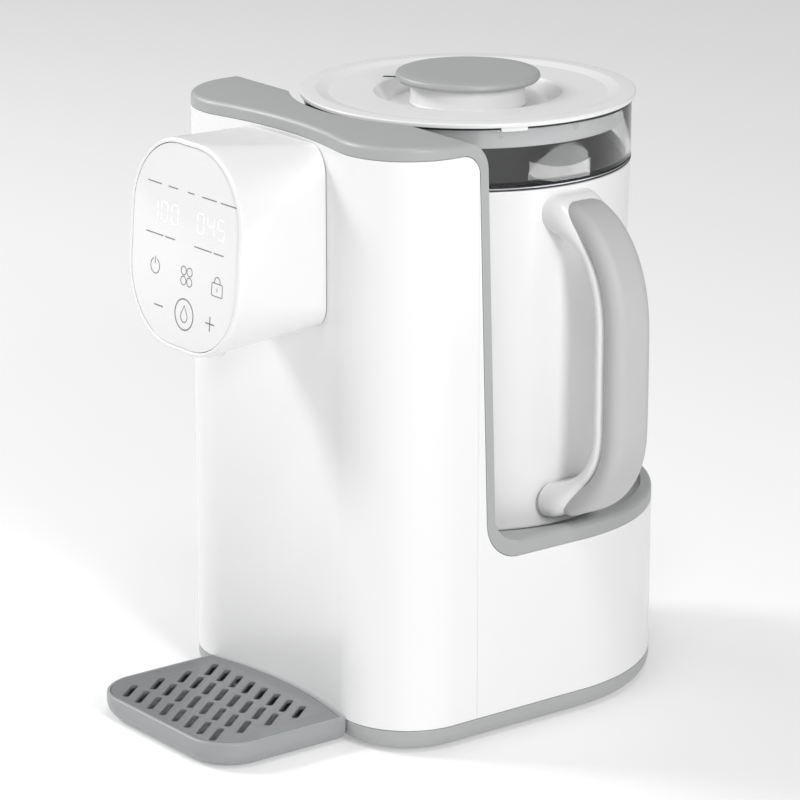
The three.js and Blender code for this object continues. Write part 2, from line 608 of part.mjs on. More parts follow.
{
  const steps = 18;
  const stations = Array.from({ length: steps + 1 }, (unused, i) => i / steps);
  const gripStations = [0.035, ...stations.slice(1, -1), 0.965];
  const flare = (turn) => Math.max(0, 1 - Math.min(turn, 1 - turn) / 0.16) ** 2;
  const clear = turned([
    [0, 50], [jacketRadius(50) + GAP, 50], [jacketRadius(280) + GAP, 280], [0, 280],
  ], 48);
  const gripOf = (spare) => loft(gripStations.map(
    (turn) => handleRing(turn, GAP - spare, gripDepth(turn) + spare, GRIP_HALF_WIDTH + spare)));
  const spine = loft(stations.map((turn) => handleRing(
    turn, -SPINE_THICKNESS, ROOT_RISE * flare(turn), SPINE_HALF_WIDTH + ROOT_SPREAD * flare(turn))));
  place('handle_spine', spine.subtract(clear).subtract(gripOf(GAP)), WHITE, 0.35);
  place('handle_grip', gripOf(0).subtract(clear), GREY, 0.7);
}

// ---------------------------------------------------------------- lid

const LID_EDGE_LOW = 298;
const LID_RING = 298.9;             // flat ring between the dish and the raised rim
const SEAL_TOP = 297.5;
const SKIRT_TOP = 296.4;
const SKIRT_LOW = 287;
const SKIRT_RADIUS = 77.6;
const KNOB_LOW = 304.5;
{
  const plate = turned([
    [0, DISH_FLOOR], [40, DISH_FLOOR], [45, DISH_FLOOR + 0.8], [51, LID_RING - 1.3], [54, LID_RING],
    [77.5, LID_RING], [78.6, LID_TOP], [LID_RADIUS - 1, LID_TOP], [LID_RADIUS, LID_TOP - 0.8],
    [LID_RADIUS, LID_EDGE_LOW], [54, LID_EDGE_LOW - 1.2], [50, 294.6], [44, DISH_FLOOR - 1.6],
    [0, DISH_FLOOR - 1.8],
  ], 48);
  const vent = solid(new THREE.BoxGeometry(6, 1.8, 20).translate(-55.5, -7.5, 296));
  place('lid_plate', plate.subtract(vent), WHITE, 0.3);
}
place('lid_seal', turned([
  [74, SEAL_TOP - 0.6], [81, SEAL_TOP - 0.6], [81, SEAL_TOP], [74, SEAL_TOP - 0.2],
], 48), DARK, 0.7);
place('lid_skirt', turned([
  [60, SKIRT_TOP - 1.8], [74, SKIRT_TOP - 1.8], [74, SKIRT_LOW], [SKIRT_RADIUS, SKIRT_LOW],
  [SKIRT_RADIUS, SKIRT_TOP], [60, SKIRT_TOP],
], 48), 0xd5d7d8, 0.3, 0, { transparent: true, opacity: 0.7 });
place('knob_neck', turned([
  [24.5, DISH_FLOOR + GAP], [NECK_RADIUS + 0.6, DISH_FLOOR + GAP], [NECK_RADIUS, DISH_FLOOR + 2],
  [NECK_RADIUS, KNOB_LOW - GAP], [24.5, KNOB_LOW - GAP],
], 32), WHITE, 0.3);
place('knob_cap', turned([
  [0, KNOB_LOW], [KNOB_RADIUS - 1.6, KNOB_LOW], [KNOB_RADIUS, KNOB_LOW + 1.3],
  [KNOB_RADIUS - 0.4, KNOB_TOP - 1.4], [KNOB_RADIUS - 2.4, KNOB_TOP - 0.2], [KNOB_RADIUS - 5, KNOB_TOP],
  [0, KNOB_TOP],
], 44), GREY, 0.5);

// ---------------------------------------------------------------- drip tray and grille

// Plan of the tray: its front corners are round, and its back is cut to the body afterwards.
function trayOutline(inset, back) {
  const corner = TRAY_CORNER - inset;
  const x = TRAY_HALF_WIDTH - TRAY_CORNER;
  const y = TRAY_FRONT_Y + TRAY_CORNER;
  return [
    ...arc(-x, y, corner, 2 * quarter, 3 * quarter, 8),
    ...arc(x, y, corner, 3 * quarter, 4 * quarter, 8),
    new THREE.Vector2(TRAY_HALF_WIDTH - inset, back),
    new THREE.Vector2(inset - TRAY_HALF_WIDTH, back),
  ];
}

const GRILLE_LOW = TRAY_TOP - 2.3;
{
  const body = (away) => upright(bodyOutline(-away), -5, 40);
  // only the lower edge is round: the upper rim of the taller block is cut away
  const tallBlock = softUpright(trayOutline(0, -90), 0, 3 * TRAY_TOP, TRAY_UNDERCUT, TRAY_UNDERCUT, 4);
  const blank = tallBlock.intersect(block(-BEHIND, -2 * BEHIND, -1, BEHIND, 0, TRAY_TOP));
  const basin = upright(trayOutline(4.5, -90), 2.5, 40).subtract(body(5));
  const rebate = upright(trayOutline(1.8, -90), GRILLE_LOW - GAP, 40).subtract(body(2.4));
  place('drip_tray', blank.subtract(body(0.6)).subtract(basin).subtract(rebate), GREY, 0.5);

  // slanting slots, in rows across the tray
  const slots = [];
  const slant = 38 * Math.PI / 180;
  const columns = 8;
  const rows = 4;
  for (let row = 0; row < rows; row += 1) {
    for (let column = 0; column < columns; column += 1) {
      const outline = roundedRectangle(1.75, 8.25, 1.2, 1);
      const slot = new THREE.ExtrudeGeometry(new THREE.Shape(outline), { depth: 10, bevelEnabled: false });
      slot.rotateZ(slant).translate(-38 + 10.6 * column, -181 + 16.3 * row, TRAY_TOP - 6);
      slots.push(solid(slot));
    }
  }
  const plate = upright(trayOutline(1.8 + GAP, -90), GRILLE_LOW, TRAY_TOP - GAP).subtract(body(2.4 + GAP));
  place('drip_grille', plate.subtract(union(slots)), 0x8e9092, 0.5);
}

// ---------------------------------------------------------------- origin under the machine's middle

machine.position.set(-(HANDLE_REACH - BODY_HALF_WIDTH) / 2, -(BODY_HALF_WIDTH + TRAY_FRONT_Y) / 2, 0);

export default machine;
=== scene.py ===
import json
import math

import bmesh
import bpy
from mathutils import Matrix, Vector


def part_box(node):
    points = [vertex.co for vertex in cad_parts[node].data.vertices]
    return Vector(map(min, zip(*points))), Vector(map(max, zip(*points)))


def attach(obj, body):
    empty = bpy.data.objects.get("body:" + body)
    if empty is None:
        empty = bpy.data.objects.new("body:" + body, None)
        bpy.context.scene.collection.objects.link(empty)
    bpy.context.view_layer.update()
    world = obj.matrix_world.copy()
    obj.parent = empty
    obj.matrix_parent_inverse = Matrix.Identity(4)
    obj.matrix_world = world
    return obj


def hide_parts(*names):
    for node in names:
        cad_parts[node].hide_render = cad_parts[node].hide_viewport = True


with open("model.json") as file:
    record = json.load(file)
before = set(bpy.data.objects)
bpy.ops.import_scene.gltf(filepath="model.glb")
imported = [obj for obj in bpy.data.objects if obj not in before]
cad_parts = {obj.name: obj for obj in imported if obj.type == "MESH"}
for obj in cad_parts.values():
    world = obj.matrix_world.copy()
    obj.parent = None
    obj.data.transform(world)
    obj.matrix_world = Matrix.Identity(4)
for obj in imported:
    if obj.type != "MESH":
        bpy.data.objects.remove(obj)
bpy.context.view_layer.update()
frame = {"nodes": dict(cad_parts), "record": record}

# ------------------------------------------------------------------ white housing
# The front and sides of the machine are one thin white shell: round behind, with upright round corners
# and a shallow hollow in front. It is moulded in polished ABS, and its upper edge steps down from the
# tower to the platform under the jug.

# All meshes are drawn in millimetres about the jug's upright axis: +X to the handle, -Y to the panel.
jug_low, jug_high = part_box("jug_glass")
AXIS = Vector(((jug_low.x + jug_high.x) / 2, (jug_low.y + jug_high.y) / 2, 0))


def reach(node):
    """Lowest and highest corner of a node, in millimetres about the jug's axis."""
    low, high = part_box(node)
    return (low - AXIS) * 1000, (high - AXIS) * 1000


def corner_arc(centre_x, centre_y, radius, start, end, steps):
    """Points of an arc; the angles are in degrees."""
    turns = [math.radians(start + (end - start) * i / steps) for i in range(steps + 1)]
    return [(centre_x + radius * math.cos(a), centre_y + radius * math.sin(a)) for a in turns]


def add_node(tree, kind, values=None, links=None, **settings):
    """One node with its settings, the values on its sockets and what feeds them: a socket, or a
    node for its first output."""
    node = tree.nodes.new(kind)
    for name, value in settings.items():
        setattr(node, name, value)
    for socket, value in (values or {}).items():
        node.inputs[socket].default_value = value
    for socket, source in (links or {}).items():
        if isinstance(source, bpy.types.Node):
            source = next(output for output in source.outputs if output.enabled)
        tree.links.new(source, node.inputs[socket])
    return node


def linear(colour):
    """An sRGB hex colour as the linear colour that a shader takes."""
    parts = [int(colour[i:i + 2], 16) / 255 for i in (1, 3, 5)]
    return [p / 12.92 if p < 0.04045 else ((p + 0.055) / 1.055) ** 2.4 for p in parts] + [1]


def blank_material(name):
    """A material with an empty node tree, and the place on a piece that its textures go by."""
    material = bpy.data.materials.new(name)
    material.use_nodes = True
    tree = material.node_tree
    tree.nodes.clear()
    return material, tree, add_node(tree, "ShaderNodeTexCoord").outputs["Object"]


def moulded(name, colour, roughness, grain, relief, drift=0.03, **surface):
    """A moulded plastic or rubber. 'grain' is the width of the mould's texture and 'relief' its
    height, in mm; 'drift' is how much the tone wanders over the piece."""
    material, tree, where = blank_material(name)
    cloud = add_node(tree, "ShaderNodeTexNoise", {"Scale": 14, "Detail": 3}, {"Vector": where})
    value = add_node(tree, "ShaderNodeMapRange", {"To Min": 1 - drift, "To Max": 1}, {"Value": cloud})
    tone = add_node(tree, "ShaderNodeHueSaturation", {"Color": linear(colour)}, {"Value": value})
    texture = add_node(tree, "ShaderNodeTexNoise", {"Scale": 1000 / grain, "Detail": 2},
                       {"Vector": where})
    polish = add_node(tree, "ShaderNodeMapRange",
                      {"To Min": roughness * 0.88, "To Max": roughness * 1.12},
                      {"Value": texture})
    bump = add_node(tree, "ShaderNodeBump", {"Distance": relief / 1000}, {"Height": texture})
    shader = add_node(tree, "ShaderNodeBsdfPrincipled", surface,
                      {"Base Color": tone, "Roughness": polish, "Normal": bump})
    add_node(tree, "ShaderNodeOutputMaterial", links={"Surface": shader})
    return material


def settle(piece):
    """Turns a piece's modifiers into plain mesh."""
    finished = bpy.data.meshes.new_from_object(
        piece.evaluated_get(bpy.context.evaluated_depsgraph_get()))
    piece.modifiers.clear()
    piece.data = finished
    return piece


def to_piece(name, bm, *materials):
    """Puts a mesh drawn in millimetres about the jug's axis into the frame, as an object."""
    bmesh.ops.remove_doubles(bm, verts=bm.verts, dist=0.0005)
    bmesh.ops.recalc_face_normals(bm, faces=bm.faces)
    for vertex in bm.verts:
        vertex.co = vertex.co / 1000 + AXIS
    mesh = bpy.data.meshes.new(name)
    bm.to_mesh(mesh)
    bm.free()
    for material in materials:
        mesh.materials.append(material)
    piece = bpy.data.objects.new(name, mesh)
    bpy.context.scene.collection.objects.link(piece)
    return piece


def smooth(piece, angle=35):
    """Smooth shading, broken at edges sharper than the angle."""
    for face in piece.data.polygons:
        face.use_smooth = True
    piece.data.set_sharp_from_angle(angle=math.radians(angle))
    return piece


def ease_edges(piece, width, segments=2, angle=50):
    """Rounds the sharp edges of a piece by a width in millimetres."""
    bpy.context.view_layer.update()
    bevel = piece.modifiers.new("eased", "BEVEL")
    bevel.width = width / 1000
    bevel.segments = segments
    bevel.limit_method = "ANGLE"
    bevel.angle_limit = math.radians(angle)
    bpy.context.view_layer.update()
    return settle(piece)


def belongs(piece, body, slot, *nodes):
    """Gives a finished piece its body and hides the solids that it stands for; the slot is not used."""
    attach(piece, body)
    if nodes:
        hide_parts(*nodes)


# Polished ABS: an even white with a soft sheen, and a faint waviness where the wall has shrunk.
white_abs = moulded("polished_white_abs", "#EEEEEE", 0.24, 9, 0.012, 0.012, IOR=1.53)

BODY_RADIUS = reach("base_pan")[1].y              # half width, and the round behind
CORNER_RADIUS = 36
RECESS_RADIUS = 205
RECESS_Y = -111
SHELL_WALL = 2.6
COVER_TOP = reach("cradle")[1].z
SHELL_LOW = reach("housing_shell")[0].z
COVER_EDGE = reach("housing_shell")[1].z
PLATFORM_EDGE = 90.5
LIP_TOP = 98.8
LEG_Y = -61.6
LEG_LEAN = 0.0268
SEAM = 0.3                                        # gap between two mouldings
STEP_ROUND = 20                                   # inside corner where the tower meets the platform
TOP_ROUND = 10                                    # outside corner at the tower's top
ROUND_STEPS = 128                                 # sides of the round behind
CORNER_STEPS = 44

corner_x = BODY_RADIUS - CORNER_RADIUS
recess_y = RECESS_Y - RECESS_RADIUS
corner_y = recess_y + math.sqrt((RECESS_RADIUS + CORNER_RADIUS) ** 2 - corner_x ** 2)
recess_angle = math.degrees(math.atan2(corner_x, corner_y - recess_y))


def body_plan(inset=0):
    """Plan of the body, moved inwards: every arc keeps its centre."""
    corner = CORNER_RADIUS - inset
    recess = corner_arc(0, recess_y, RECESS_RADIUS + inset, 90 + recess_angle, 90 - recess_angle,
                        CORNER_STEPS)
    return (corner_arc(0, 0, BODY_RADIUS - inset, 0, 180, ROUND_STEPS)
            + corner_arc(-corner_x, corner_y, corner, 180, 270 + recess_angle, CORNER_STEPS)
            + recess[1:-1]
            + corner_arc(corner_x, corner_y, corner, 270 - recess_angle, 360, CORNER_STEPS))


def raised(plan, height):
    """A plan's points at a height."""
    return [(x, y, height) for x, y in plan]


def leg_y(height, offset=0):
    """Back edge of the tower's side at a height."""
    return LEG_Y + offset - LEG_LEAN * (height - PLATFORM_EDGE)


def side_edge(offset, top, platform, steps=20):
    """Edge of the tower's side from the platform up to the top, as (y, z): a round inside corner,
    the leaning back edge, and a round outside corner."""
    lower = STEP_ROUND - offset
    upper = TOP_ROUND + offset
    return (corner_arc(leg_y(platform, offset) + lower, platform + lower, lower, 270, 180, steps)
            + corner_arc(leg_y(top, offset) - upper, top - upper, upper, 0, 90, steps))


def strip(bm, low, high):
    """Quads between two closed rings with the same number of points."""
    count = len(low)
    for i in range(count):
        j = (i + 1) % count
        bm.faces.new((low[i], low[j], high[j], high[i]))


def block(bm, low, high):
    """A plain box, used to cut."""
    made = bmesh.ops.create_cube(bm, size=1)["verts"]
    middle = (Vector(low) + Vector(high)) / 2
    size = Vector(high) - Vector(low)
    for vertex in made:
        vertex.co = Vector([vertex.co[i] * size[i] + middle[i] for i in range(3)])


def cut(piece, tool, operation="DIFFERENCE"):
    """Cuts a piece with another mesh, or joins them, and takes the tool away."""
    boolean = piece.modifiers.new("cut", "BOOLEAN")
    boolean.operation = operation
    boolean.solver = "EXACT"
    boolean.object = tool
    bpy.context.view_layer.update()
    settle(piece)
    bpy.data.objects.remove(tool)
    return piece


step = side_edge(0, COVER_EDGE, PLATFORM_EDGE)
columns = raised(body_plan()[:ROUND_STEPS + 1], PLATFORM_EDGE)
columns += [(-BODY_RADIUS, y, z) for y, z in step]
columns += raised(body_plan()[ROUND_STEPS + 1:], COVER_EDGE)
columns += [(BODY_RADIUS, y, z) for y, z in reversed(step)]
bm = bmesh.new()
strip(bm, [bm.verts.new((x, y, SHELL_LOW)) for x, y, z in columns],
      [bm.verts.new(column) for column in columns])
# each flat side is one face, so that its edge can be rounded cleanly
bmesh.ops.dissolve_limit(bm, angle_limit=0.001, verts=bm.verts, edges=bm.edges)
housing = to_piece("housing", bm, white_abs)
wall = housing.modifiers.new("wall", "SOLIDIFY")
wall.thickness = SHELL_WALL / 1000
wall.offset = -1
wall.use_even_offset = True
bpy.context.view_layer.update()
settle(housing)
bm = bmesh.new()
block(bm, (-14, 70, 22), (14, 120, 42))           # mains inlet
block(bm, (-16, -130, 226), (16, -90, 250))       # hose and wires to the head
cut(housing, to_piece("openings", bm))
smooth(ease_edges(housing, 0.45), 20)
belongs(housing, "machine", "white_abs", "housing_shell")

# ------------------------------------------------------------------ grey cradle
# One grey moulding caps the tower, runs down both back edges as a narrow trim and ends in the lip and
# the floor that the jug stands on. ABS from a finely etched mould, dropped over the white shell.

# Etched ABS: the mould's texture scatters the light, so highlights are broad and soft.
grey_abs = moulded("etched_grey_abs", "#AAABAB", 0.42, 0.8, 0.012, 0.03, IOR=1.53)

TRIM_WIDTH = 5.2
CRADLE_RADIUS = 88.5
FLOOR_TOP = 94


def stack(rings, closed=False):
    """A closed solid through rings of points, from the first up to the last."""
    bm = bmesh.new()
    made = [[bm.verts.new(point) for point in ring] for ring in rings]
    for low, high in zip(made, made[1:]):
        strip(bm, low, high)
    if closed:
        strip(bm, made[-1], made[0])
    else:
        bm.faces.new(made[0])
        bm.faces.new(made[-1])
    return bm


def soft_prism(low, top, rounding, steps=8):
    """The body's plan raised between two heights, with a round upper rim."""
    rings = [raised(body_plan(), low)]
    for i in range(steps + 1):
        turn = math.radians(90 * i / steps)
        inset = rounding * (1 - math.cos(turn))
        rings.append(raised(body_plan(inset), top - rounding * (1 - math.sin(turn))))
    return stack(rings)


def side_prism(offset, top, platform, low):
    """The side view below and in front of the jug, right through the machine."""
    outline = [(-140, low), (120, low), (120, platform)] + side_edge(offset, top, platform) + [(-140, top)]
    return stack([[(x, y, z) for y, z in outline] for x in (-120, 120)])


def post(radius, low, high, steps=180):
    """A round solid about the jug's axis."""
    circle = corner_arc(0, 0, radius, 0, 360, steps)[:-1]
    return stack([raised(circle, low), raised(circle, high)])


lip_join = leg_y(LIP_TOP, STEP_ROUND)
tall = to_piece("tall", soft_prism(60, COVER_TOP, 2.6))
bm = bmesh.new()
block(bm, (-130, lip_join, 0), (130, 130, 320))
cut(tall, to_piece("behind", bm))
cradle = to_piece("cradle_moulding", soft_prism(60, LIP_TOP, 3.2), grey_abs)
cut(cradle, tall, "UNION")
cut(cradle, to_piece("side", side_prism(TRIM_WIDTH, COVER_TOP, LIP_TOP, 20)), "INTERSECT")
cut(cradle, to_piece("white", side_prism(SEAM, COVER_EDGE + SEAM, PLATFORM_EDGE + SEAM, 10)))
# the cover is hollow from below
inner = body_plan(SHELL_WALL)
pocket = to_piece("pocket", stack([raised(inner, COVER_EDGE - 2), raised(inner, COVER_TOP - 3)]))
cut(pocket, to_piece("rim_of_the_jug_room", post(CRADLE_RADIUS + 2, 60, COVER_TOP)))
cut(pocket, to_piece("back", side_prism(0, COVER_TOP - 1, PLATFORM_EDGE, 20)), "INTERSECT")
cut(cradle, pocket)
cut(cradle, to_piece("floor", post(CRADLE_RADIUS + 2, PLATFORM_EDGE + SEAM, FLOOR_TOP)), "UNION")
cut(cradle, to_piece("jug_room", post(CRADLE_RADIUS, FLOOR_TOP, COVER_TOP + 5)))
cut(cradle, to_piece("heater_room", post(52, PLATFORM_EDGE - 5, FLOOR_TOP + 5)))
smooth(ease_edges(cradle, 0.7, 3), 14)
belongs(cradle, "machine", "grey_abs", "cradle")

# The tower's back is a curved wall of the same plastic, which closes it once the works are in.
tower_back = to_piece("tower_back_wall", post(CRADLE_RADIUS + 2, FLOOR_TOP + SEAM, COVER_EDGE), grey_abs)
cut(tower_back, to_piece("jug_room", post(CRADLE_RADIUS, FLOOR_TOP - 5, COVER_TOP)))
cut(tower_back, to_piece("tower", side_prism(0, COVER_EDGE, PLATFORM_EDGE, 20)), "INTERSECT")
belongs(smooth(tower_back), "machine", "grey_abs", "tower_back")

# ------------------------------------------------------------------ base pan and feet
# The grey band round the bottom is the rim of a dished pan that closes the machine from below. Etched
# ABS like the cradle, held by four screws; it stands on four glued rubber feet.

pan_low = reach("base_pan")[0].z
pan_top = reach("base_pan")[1].z
PAN_RISE = 7                                      # height of the round at the bottom edge
PAN_INSET = 4.8                                   # and how far it goes in
PAN_FLOOR = 3

rings = []
for i in range(11):
    turn = math.radians(9 * i)
    inset = PAN_INSET * (1 - math.sin(turn))
    rings.append(raised(body_plan(inset), pan_low + PAN_RISE * (1 - math.cos(turn))))
rings += [raised(body_plan(), pan_top), raised(inner, pan_top), raised(inner, pan_low + PAN_FLOOR)]
pan = to_piece("base_pan_moulding", stack(rings), grey_abs)
smooth(ease_edges(pan, 0.4), 20)
belongs(pan, "machine", "grey_abs", "base_pan")

# Natural rubber: dull and nearly black, with the fine grain of a sandblasted mould.
foot_rubber = moulded("black_rubber", "#2A2A2B", 0.8, 0.6, 0.03)


def soften(section, steps=6):
    """Half section of a turned piece from corners (radius, height, rounding)."""
    points = []
    count = len(section)
    for i, (r, z, rounding) in enumerate(section):
        here = Vector((r, z))
        if not rounding:
            points.append((r, z))
            continue
        before = Vector(section[i - 1][:2]) - here
        after = Vector(section[(i + 1) % count][:2]) - here
        half = before.angle(after) / 2
        run = min(rounding / math.tan(half), before.length * 0.49, after.length * 0.49)
        start = here + before.normalized() * run
        end = here + after.normalized() * run
        for k in range(steps + 1):
            t = k / steps
            spot = start * (1 - t) ** 2 + here * 2 * t * (1 - t) + end * t ** 2
            points.append((spot.x, spot.y))
    return points


def turned(name, section, *materials, turns, y=0):
    """A turned piece with its axis at y; the section is closed, or starts and ends on the axis."""
    bm = bmesh.new()
    rings = []
    for radius, height in soften(section):
        if radius < 1e-6:
            rings.append([bm.verts.new((0, y, height))])
        else:
            circle = corner_arc(0, y, radius, 0, 360, turns)[:-1]
            rings.append([bm.verts.new(point) for point in raised(circle, height)])
    pairs = list(zip(rings, rings[1:]))
    if len(rings[0]) > 1:
        pairs.append((rings[-1], rings[0]))
    for low, high in pairs:
        if len(low) > 1 and len(high) > 1:
            strip(bm, low, high)
        elif len(low) + len(high) > 2:
            ring, tip = (low, high[0]) if len(low) > 1 else (high, low[0])
            for i in range(turns):
                bm.faces.new((ring[i], ring[(i + 1) % turns], tip))
    return to_piece(name, bm, *materials)


def turned_part(name, material, body, slot, node, turns, section, **place):
    """A turned piece in one material, finished and handed over."""
    belongs(smooth(turned(name, section, material, turns=turns, **place)), body, slot, node)


def group_inputs(tree, sockets):
    """Opens a node group's inputs, given as (title, kind); returns what each is known by."""
    names = {}
    for title, kind in sockets:
        socket = tree.interface.new_socket(title, in_out="INPUT", socket_type="NodeSocket" + kind)
        names[title] = socket.identifier
    return names


def run_group(piece, tree, inputs, values):
    """Runs a node group on a piece and keeps the mesh that it makes."""
    maker = piece.modifiers.new(tree.name, "NODES")
    maker.node_group = tree
    for title, value in values.items():
        maker[inputs[title]] = value
    bpy.context.view_layer.update()
    return settle(piece)


foot_low, foot_high = reach("rubber_foot_1")
foot_radius = (foot_high.x - foot_low.x) / 2
foot = turned("foot_pattern", [(0, 0, 0), (foot_radius - 1.5, 0, 0), (foot_radius, 0.4, 0.3),
                               (foot_radius, foot_high.z, 0), (0, foot_high.z, 0)], turns=40)
foot.data.transform(Matrix.Translation(-AXIS))

middles = []
for number in (1, 2, 3, 4):
    low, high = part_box("rubber_foot_%d" % number)
    middles.append(((low.x + high.x) / 2, (low.y + high.y) / 2, 0))
places = bpy.data.meshes.new("foot_places")
places.from_pydata(middles, [], [])
feet = bpy.data.objects.new("rubber_feet", places)
bpy.context.scene.collection.objects.link(feet)
tree = bpy.data.node_groups.new("feet_on_the_pan", "GeometryNodeTree")
inputs = group_inputs(tree, (("Places", "Geometry"), ("Foot", "Object"), ("Rubber", "Material")))
tree.interface.new_socket("Feet", in_out="OUTPUT", socket_type="NodeSocketGeometry")
given = add_node(tree, "NodeGroupInput").outputs
shape = add_node(tree, "GeometryNodeObjectInfo", links={"Object": given["Foot"]})
copies = add_node(tree, "GeometryNodeInstanceOnPoints",
                  links={"Points": given["Places"], "Instance": shape.outputs["Geometry"]})
real = add_node(tree, "GeometryNodeRealizeInstances", links={"Geometry": copies})
coated = add_node(tree, "GeometryNodeSetMaterial",
                  links={"Geometry": real, "Material": given["Rubber"]})
add_node(tree, "NodeGroupOutput", links={"Feet": coated})
run_group(feet, tree, inputs, {"Foot": foot, "Rubber": foot_rubber})
bpy.data.objects.remove(foot)
belongs(smooth(feet), "machine", "foot_rubber", *["rubber_foot_%d" % number for number in (1, 2, 3, 4)])

# ------------------------------------------------------------------ head, panel and spout
# The head is a white box that swells forward from the tower to a panel with large round corners. The
# shell is polished ABS, glued to the tower's front; the touch panel is an acrylic plate set in its rim.

# Back-painted acrylic: dead flat, with a hard mirror skin.
panel_acrylic = moulded("white_painted_acrylic", "#ECECEC", 0.16, 12, 0.002, 0.006,
                        **{"Coat Weight": 0.6, "Coat Roughness": 0.04})

PANEL_HALF_WIDTH = 46
PANEL_HALF_HEIGHT = 50.9
PANEL_RADIUS = 38
PANEL_LEAN = 0.0737
PANEL_Y = -170.9
HEAD_ROOT_Y = -112
HEAD_BACK = (37, 44.5, 13)
HEAD_BACK_Z = 247.5
HEAD_WALL = 2.2
PANEL_SUNK = 0.4
PANEL_CENTRE_Z = 245.4


def rounded_plan(half_width, half_height, radius, steps):
    """A rectangle with round corners, about its centre."""
    x = half_width - radius
    y = half_height - radius
    centres = ((x, y), (-x, y), (-x, -y), (x, -y))
    return [point for i, (cx, cy) in enumerate(centres)
            for point in corner_arc(cx, cy, radius, 90 * i, 90 * i + 90, steps)]


def head_ring(forward, inset=0, steps=28):
    """Section of the head: 0 at its root and 1 at the panel's face."""
    back = HEAD_BACK
    front = (PANEL_HALF_WIDTH, PANEL_HALF_HEIGHT, PANEL_RADIUS)
    sizes = [b + (f - b) * forward - inset for b, f in zip(back, front)]
    middle = HEAD_BACK_Z + (PANEL_CENTRE_Z - HEAD_BACK_Z) * forward
    depth = HEAD_ROOT_Y + (PANEL_Y - HEAD_ROOT_Y) * forward
    return [(x, depth + PANEL_LEAN * z * forward, middle + z) for x, z in rounded_plan(*sizes, steps)]


def behind_panel(depth):
    """How far along the head a section lies that is a depth behind the panel's face."""
    return 1 - depth / (HEAD_ROOT_Y - PANEL_Y)


def body_front(x):
    """The body's front surface."""
    if abs(x) < RECESS_RADIUS * math.cos(math.radians(90 - recess_angle)):
        return recess_y + math.sqrt(RECESS_RADIUS ** 2 - x ** 2)
    return corner_y - math.sqrt(max(CORNER_RADIUS ** 2 - (abs(x) - corner_x) ** 2, 0))


def against_body(ring):
    """The same ring pushed along the head on to the body's front."""
    return [(x, body_front(x) - SEAM, z) for x, y, z in ring]


RIM_ROUNDING = 1.5
rings = [against_body(head_ring(0, HEAD_WALL)), against_body(head_ring(0))]
rings += [head_ring(0.18 + 0.1 * i) for i in range(8)]
for i in range(9):
    turn = math.radians(90 * i / 8)
    rings.append(head_ring(behind_panel(RIM_ROUNDING * (1 - math.sin(turn))),
                           RIM_ROUNDING * (1 - math.cos(turn))))
rings += [head_ring(1, HEAD_WALL - 0.25), head_ring(behind_panel(0.25), HEAD_WALL)]
rings += [head_ring(behind_panel(6), HEAD_WALL), head_ring(0.2, HEAD_WALL)]
head = to_piece("head_moulding", stack(rings, closed=True), white_abs)
SPOUT_Y = -155
NOZZLE_ROOM = 7.3
nozzle_room = turned("nozzle_room", [(0, 180, 0), (NOZZLE_ROOM, 180, 0), (NOZZLE_ROOM, 212, 0),
                                     (0, 212, 0)], turns=160, y=SPOUT_Y)
cut(head, nozzle_room)
belongs(smooth(head, 40), "machine", "white_abs", "head_shell")

edge = HEAD_WALL + 0.3
rings = [head_ring(behind_panel(PANEL_SUNK + depth), edge + inset)
         for depth, inset in ((2, 0), (0.4, 0), (0.1, 0.1), (0, 0.4))]
panel = to_piece("panel_plate", stack(rings), panel_acrylic)
belongs(smooth(panel, 40), "machine", "panel_gloss", "touch_panel")

spout_low, spout_high = reach("spout")
spout_flange = spout_low.z + 11.8
turned_part("spout_nozzle", white_abs, "machine", "white_abs", "spout", 64, [
    (2.5, spout_low.z, 0), (5.5, spout_low.z, 0.8), (6.8, spout_low.z + 3, 1), (6.8, spout_flange, 0),
    (10, spout_flange, 0.3), (10, spout_flange + 2, 0.3), (3.8, spout_flange + 2, 0),
    (3.8, spout_high.z, 0.3),
    (2.5, spout_high.z, 0)], y=SPOUT_Y)

# ------------------------------------------------------------------ marks on the panel
# Labels, signs and the display's lit segments lie on the panel's face. Screen-printed ink, about a
# tenth of a millimetre thick; the segments are windows left in the paint, with a white light behind.

# Screen ink: a neutral grey film with no gloss of its own.
grey_ink = moulded("grey_screen_ink", "#7E7F80", 0.5, 0.5, 0.01)
# Lit segments: barely whiter than the paint round them.
lit_window = moulded("lit_segment", "#F8F8F8", 0.3, 4, 0.001, 0.004,
                     **{"Emission Color": (1, 1, 1, 1), "Emission Strength": 0.01})

INK_FILM = 0.08


def on_panel(across, up, proud):
    """A place on the panel, in mm from its middle, and how far it stands proud."""
    z = PANEL_CENTRE_Z + up * math.cos(math.atan(PANEL_LEAN))
    return (across, PANEL_Y + PANEL_SUNK + PANEL_LEAN * (z - PANEL_CENTRE_Z) - proud, z)


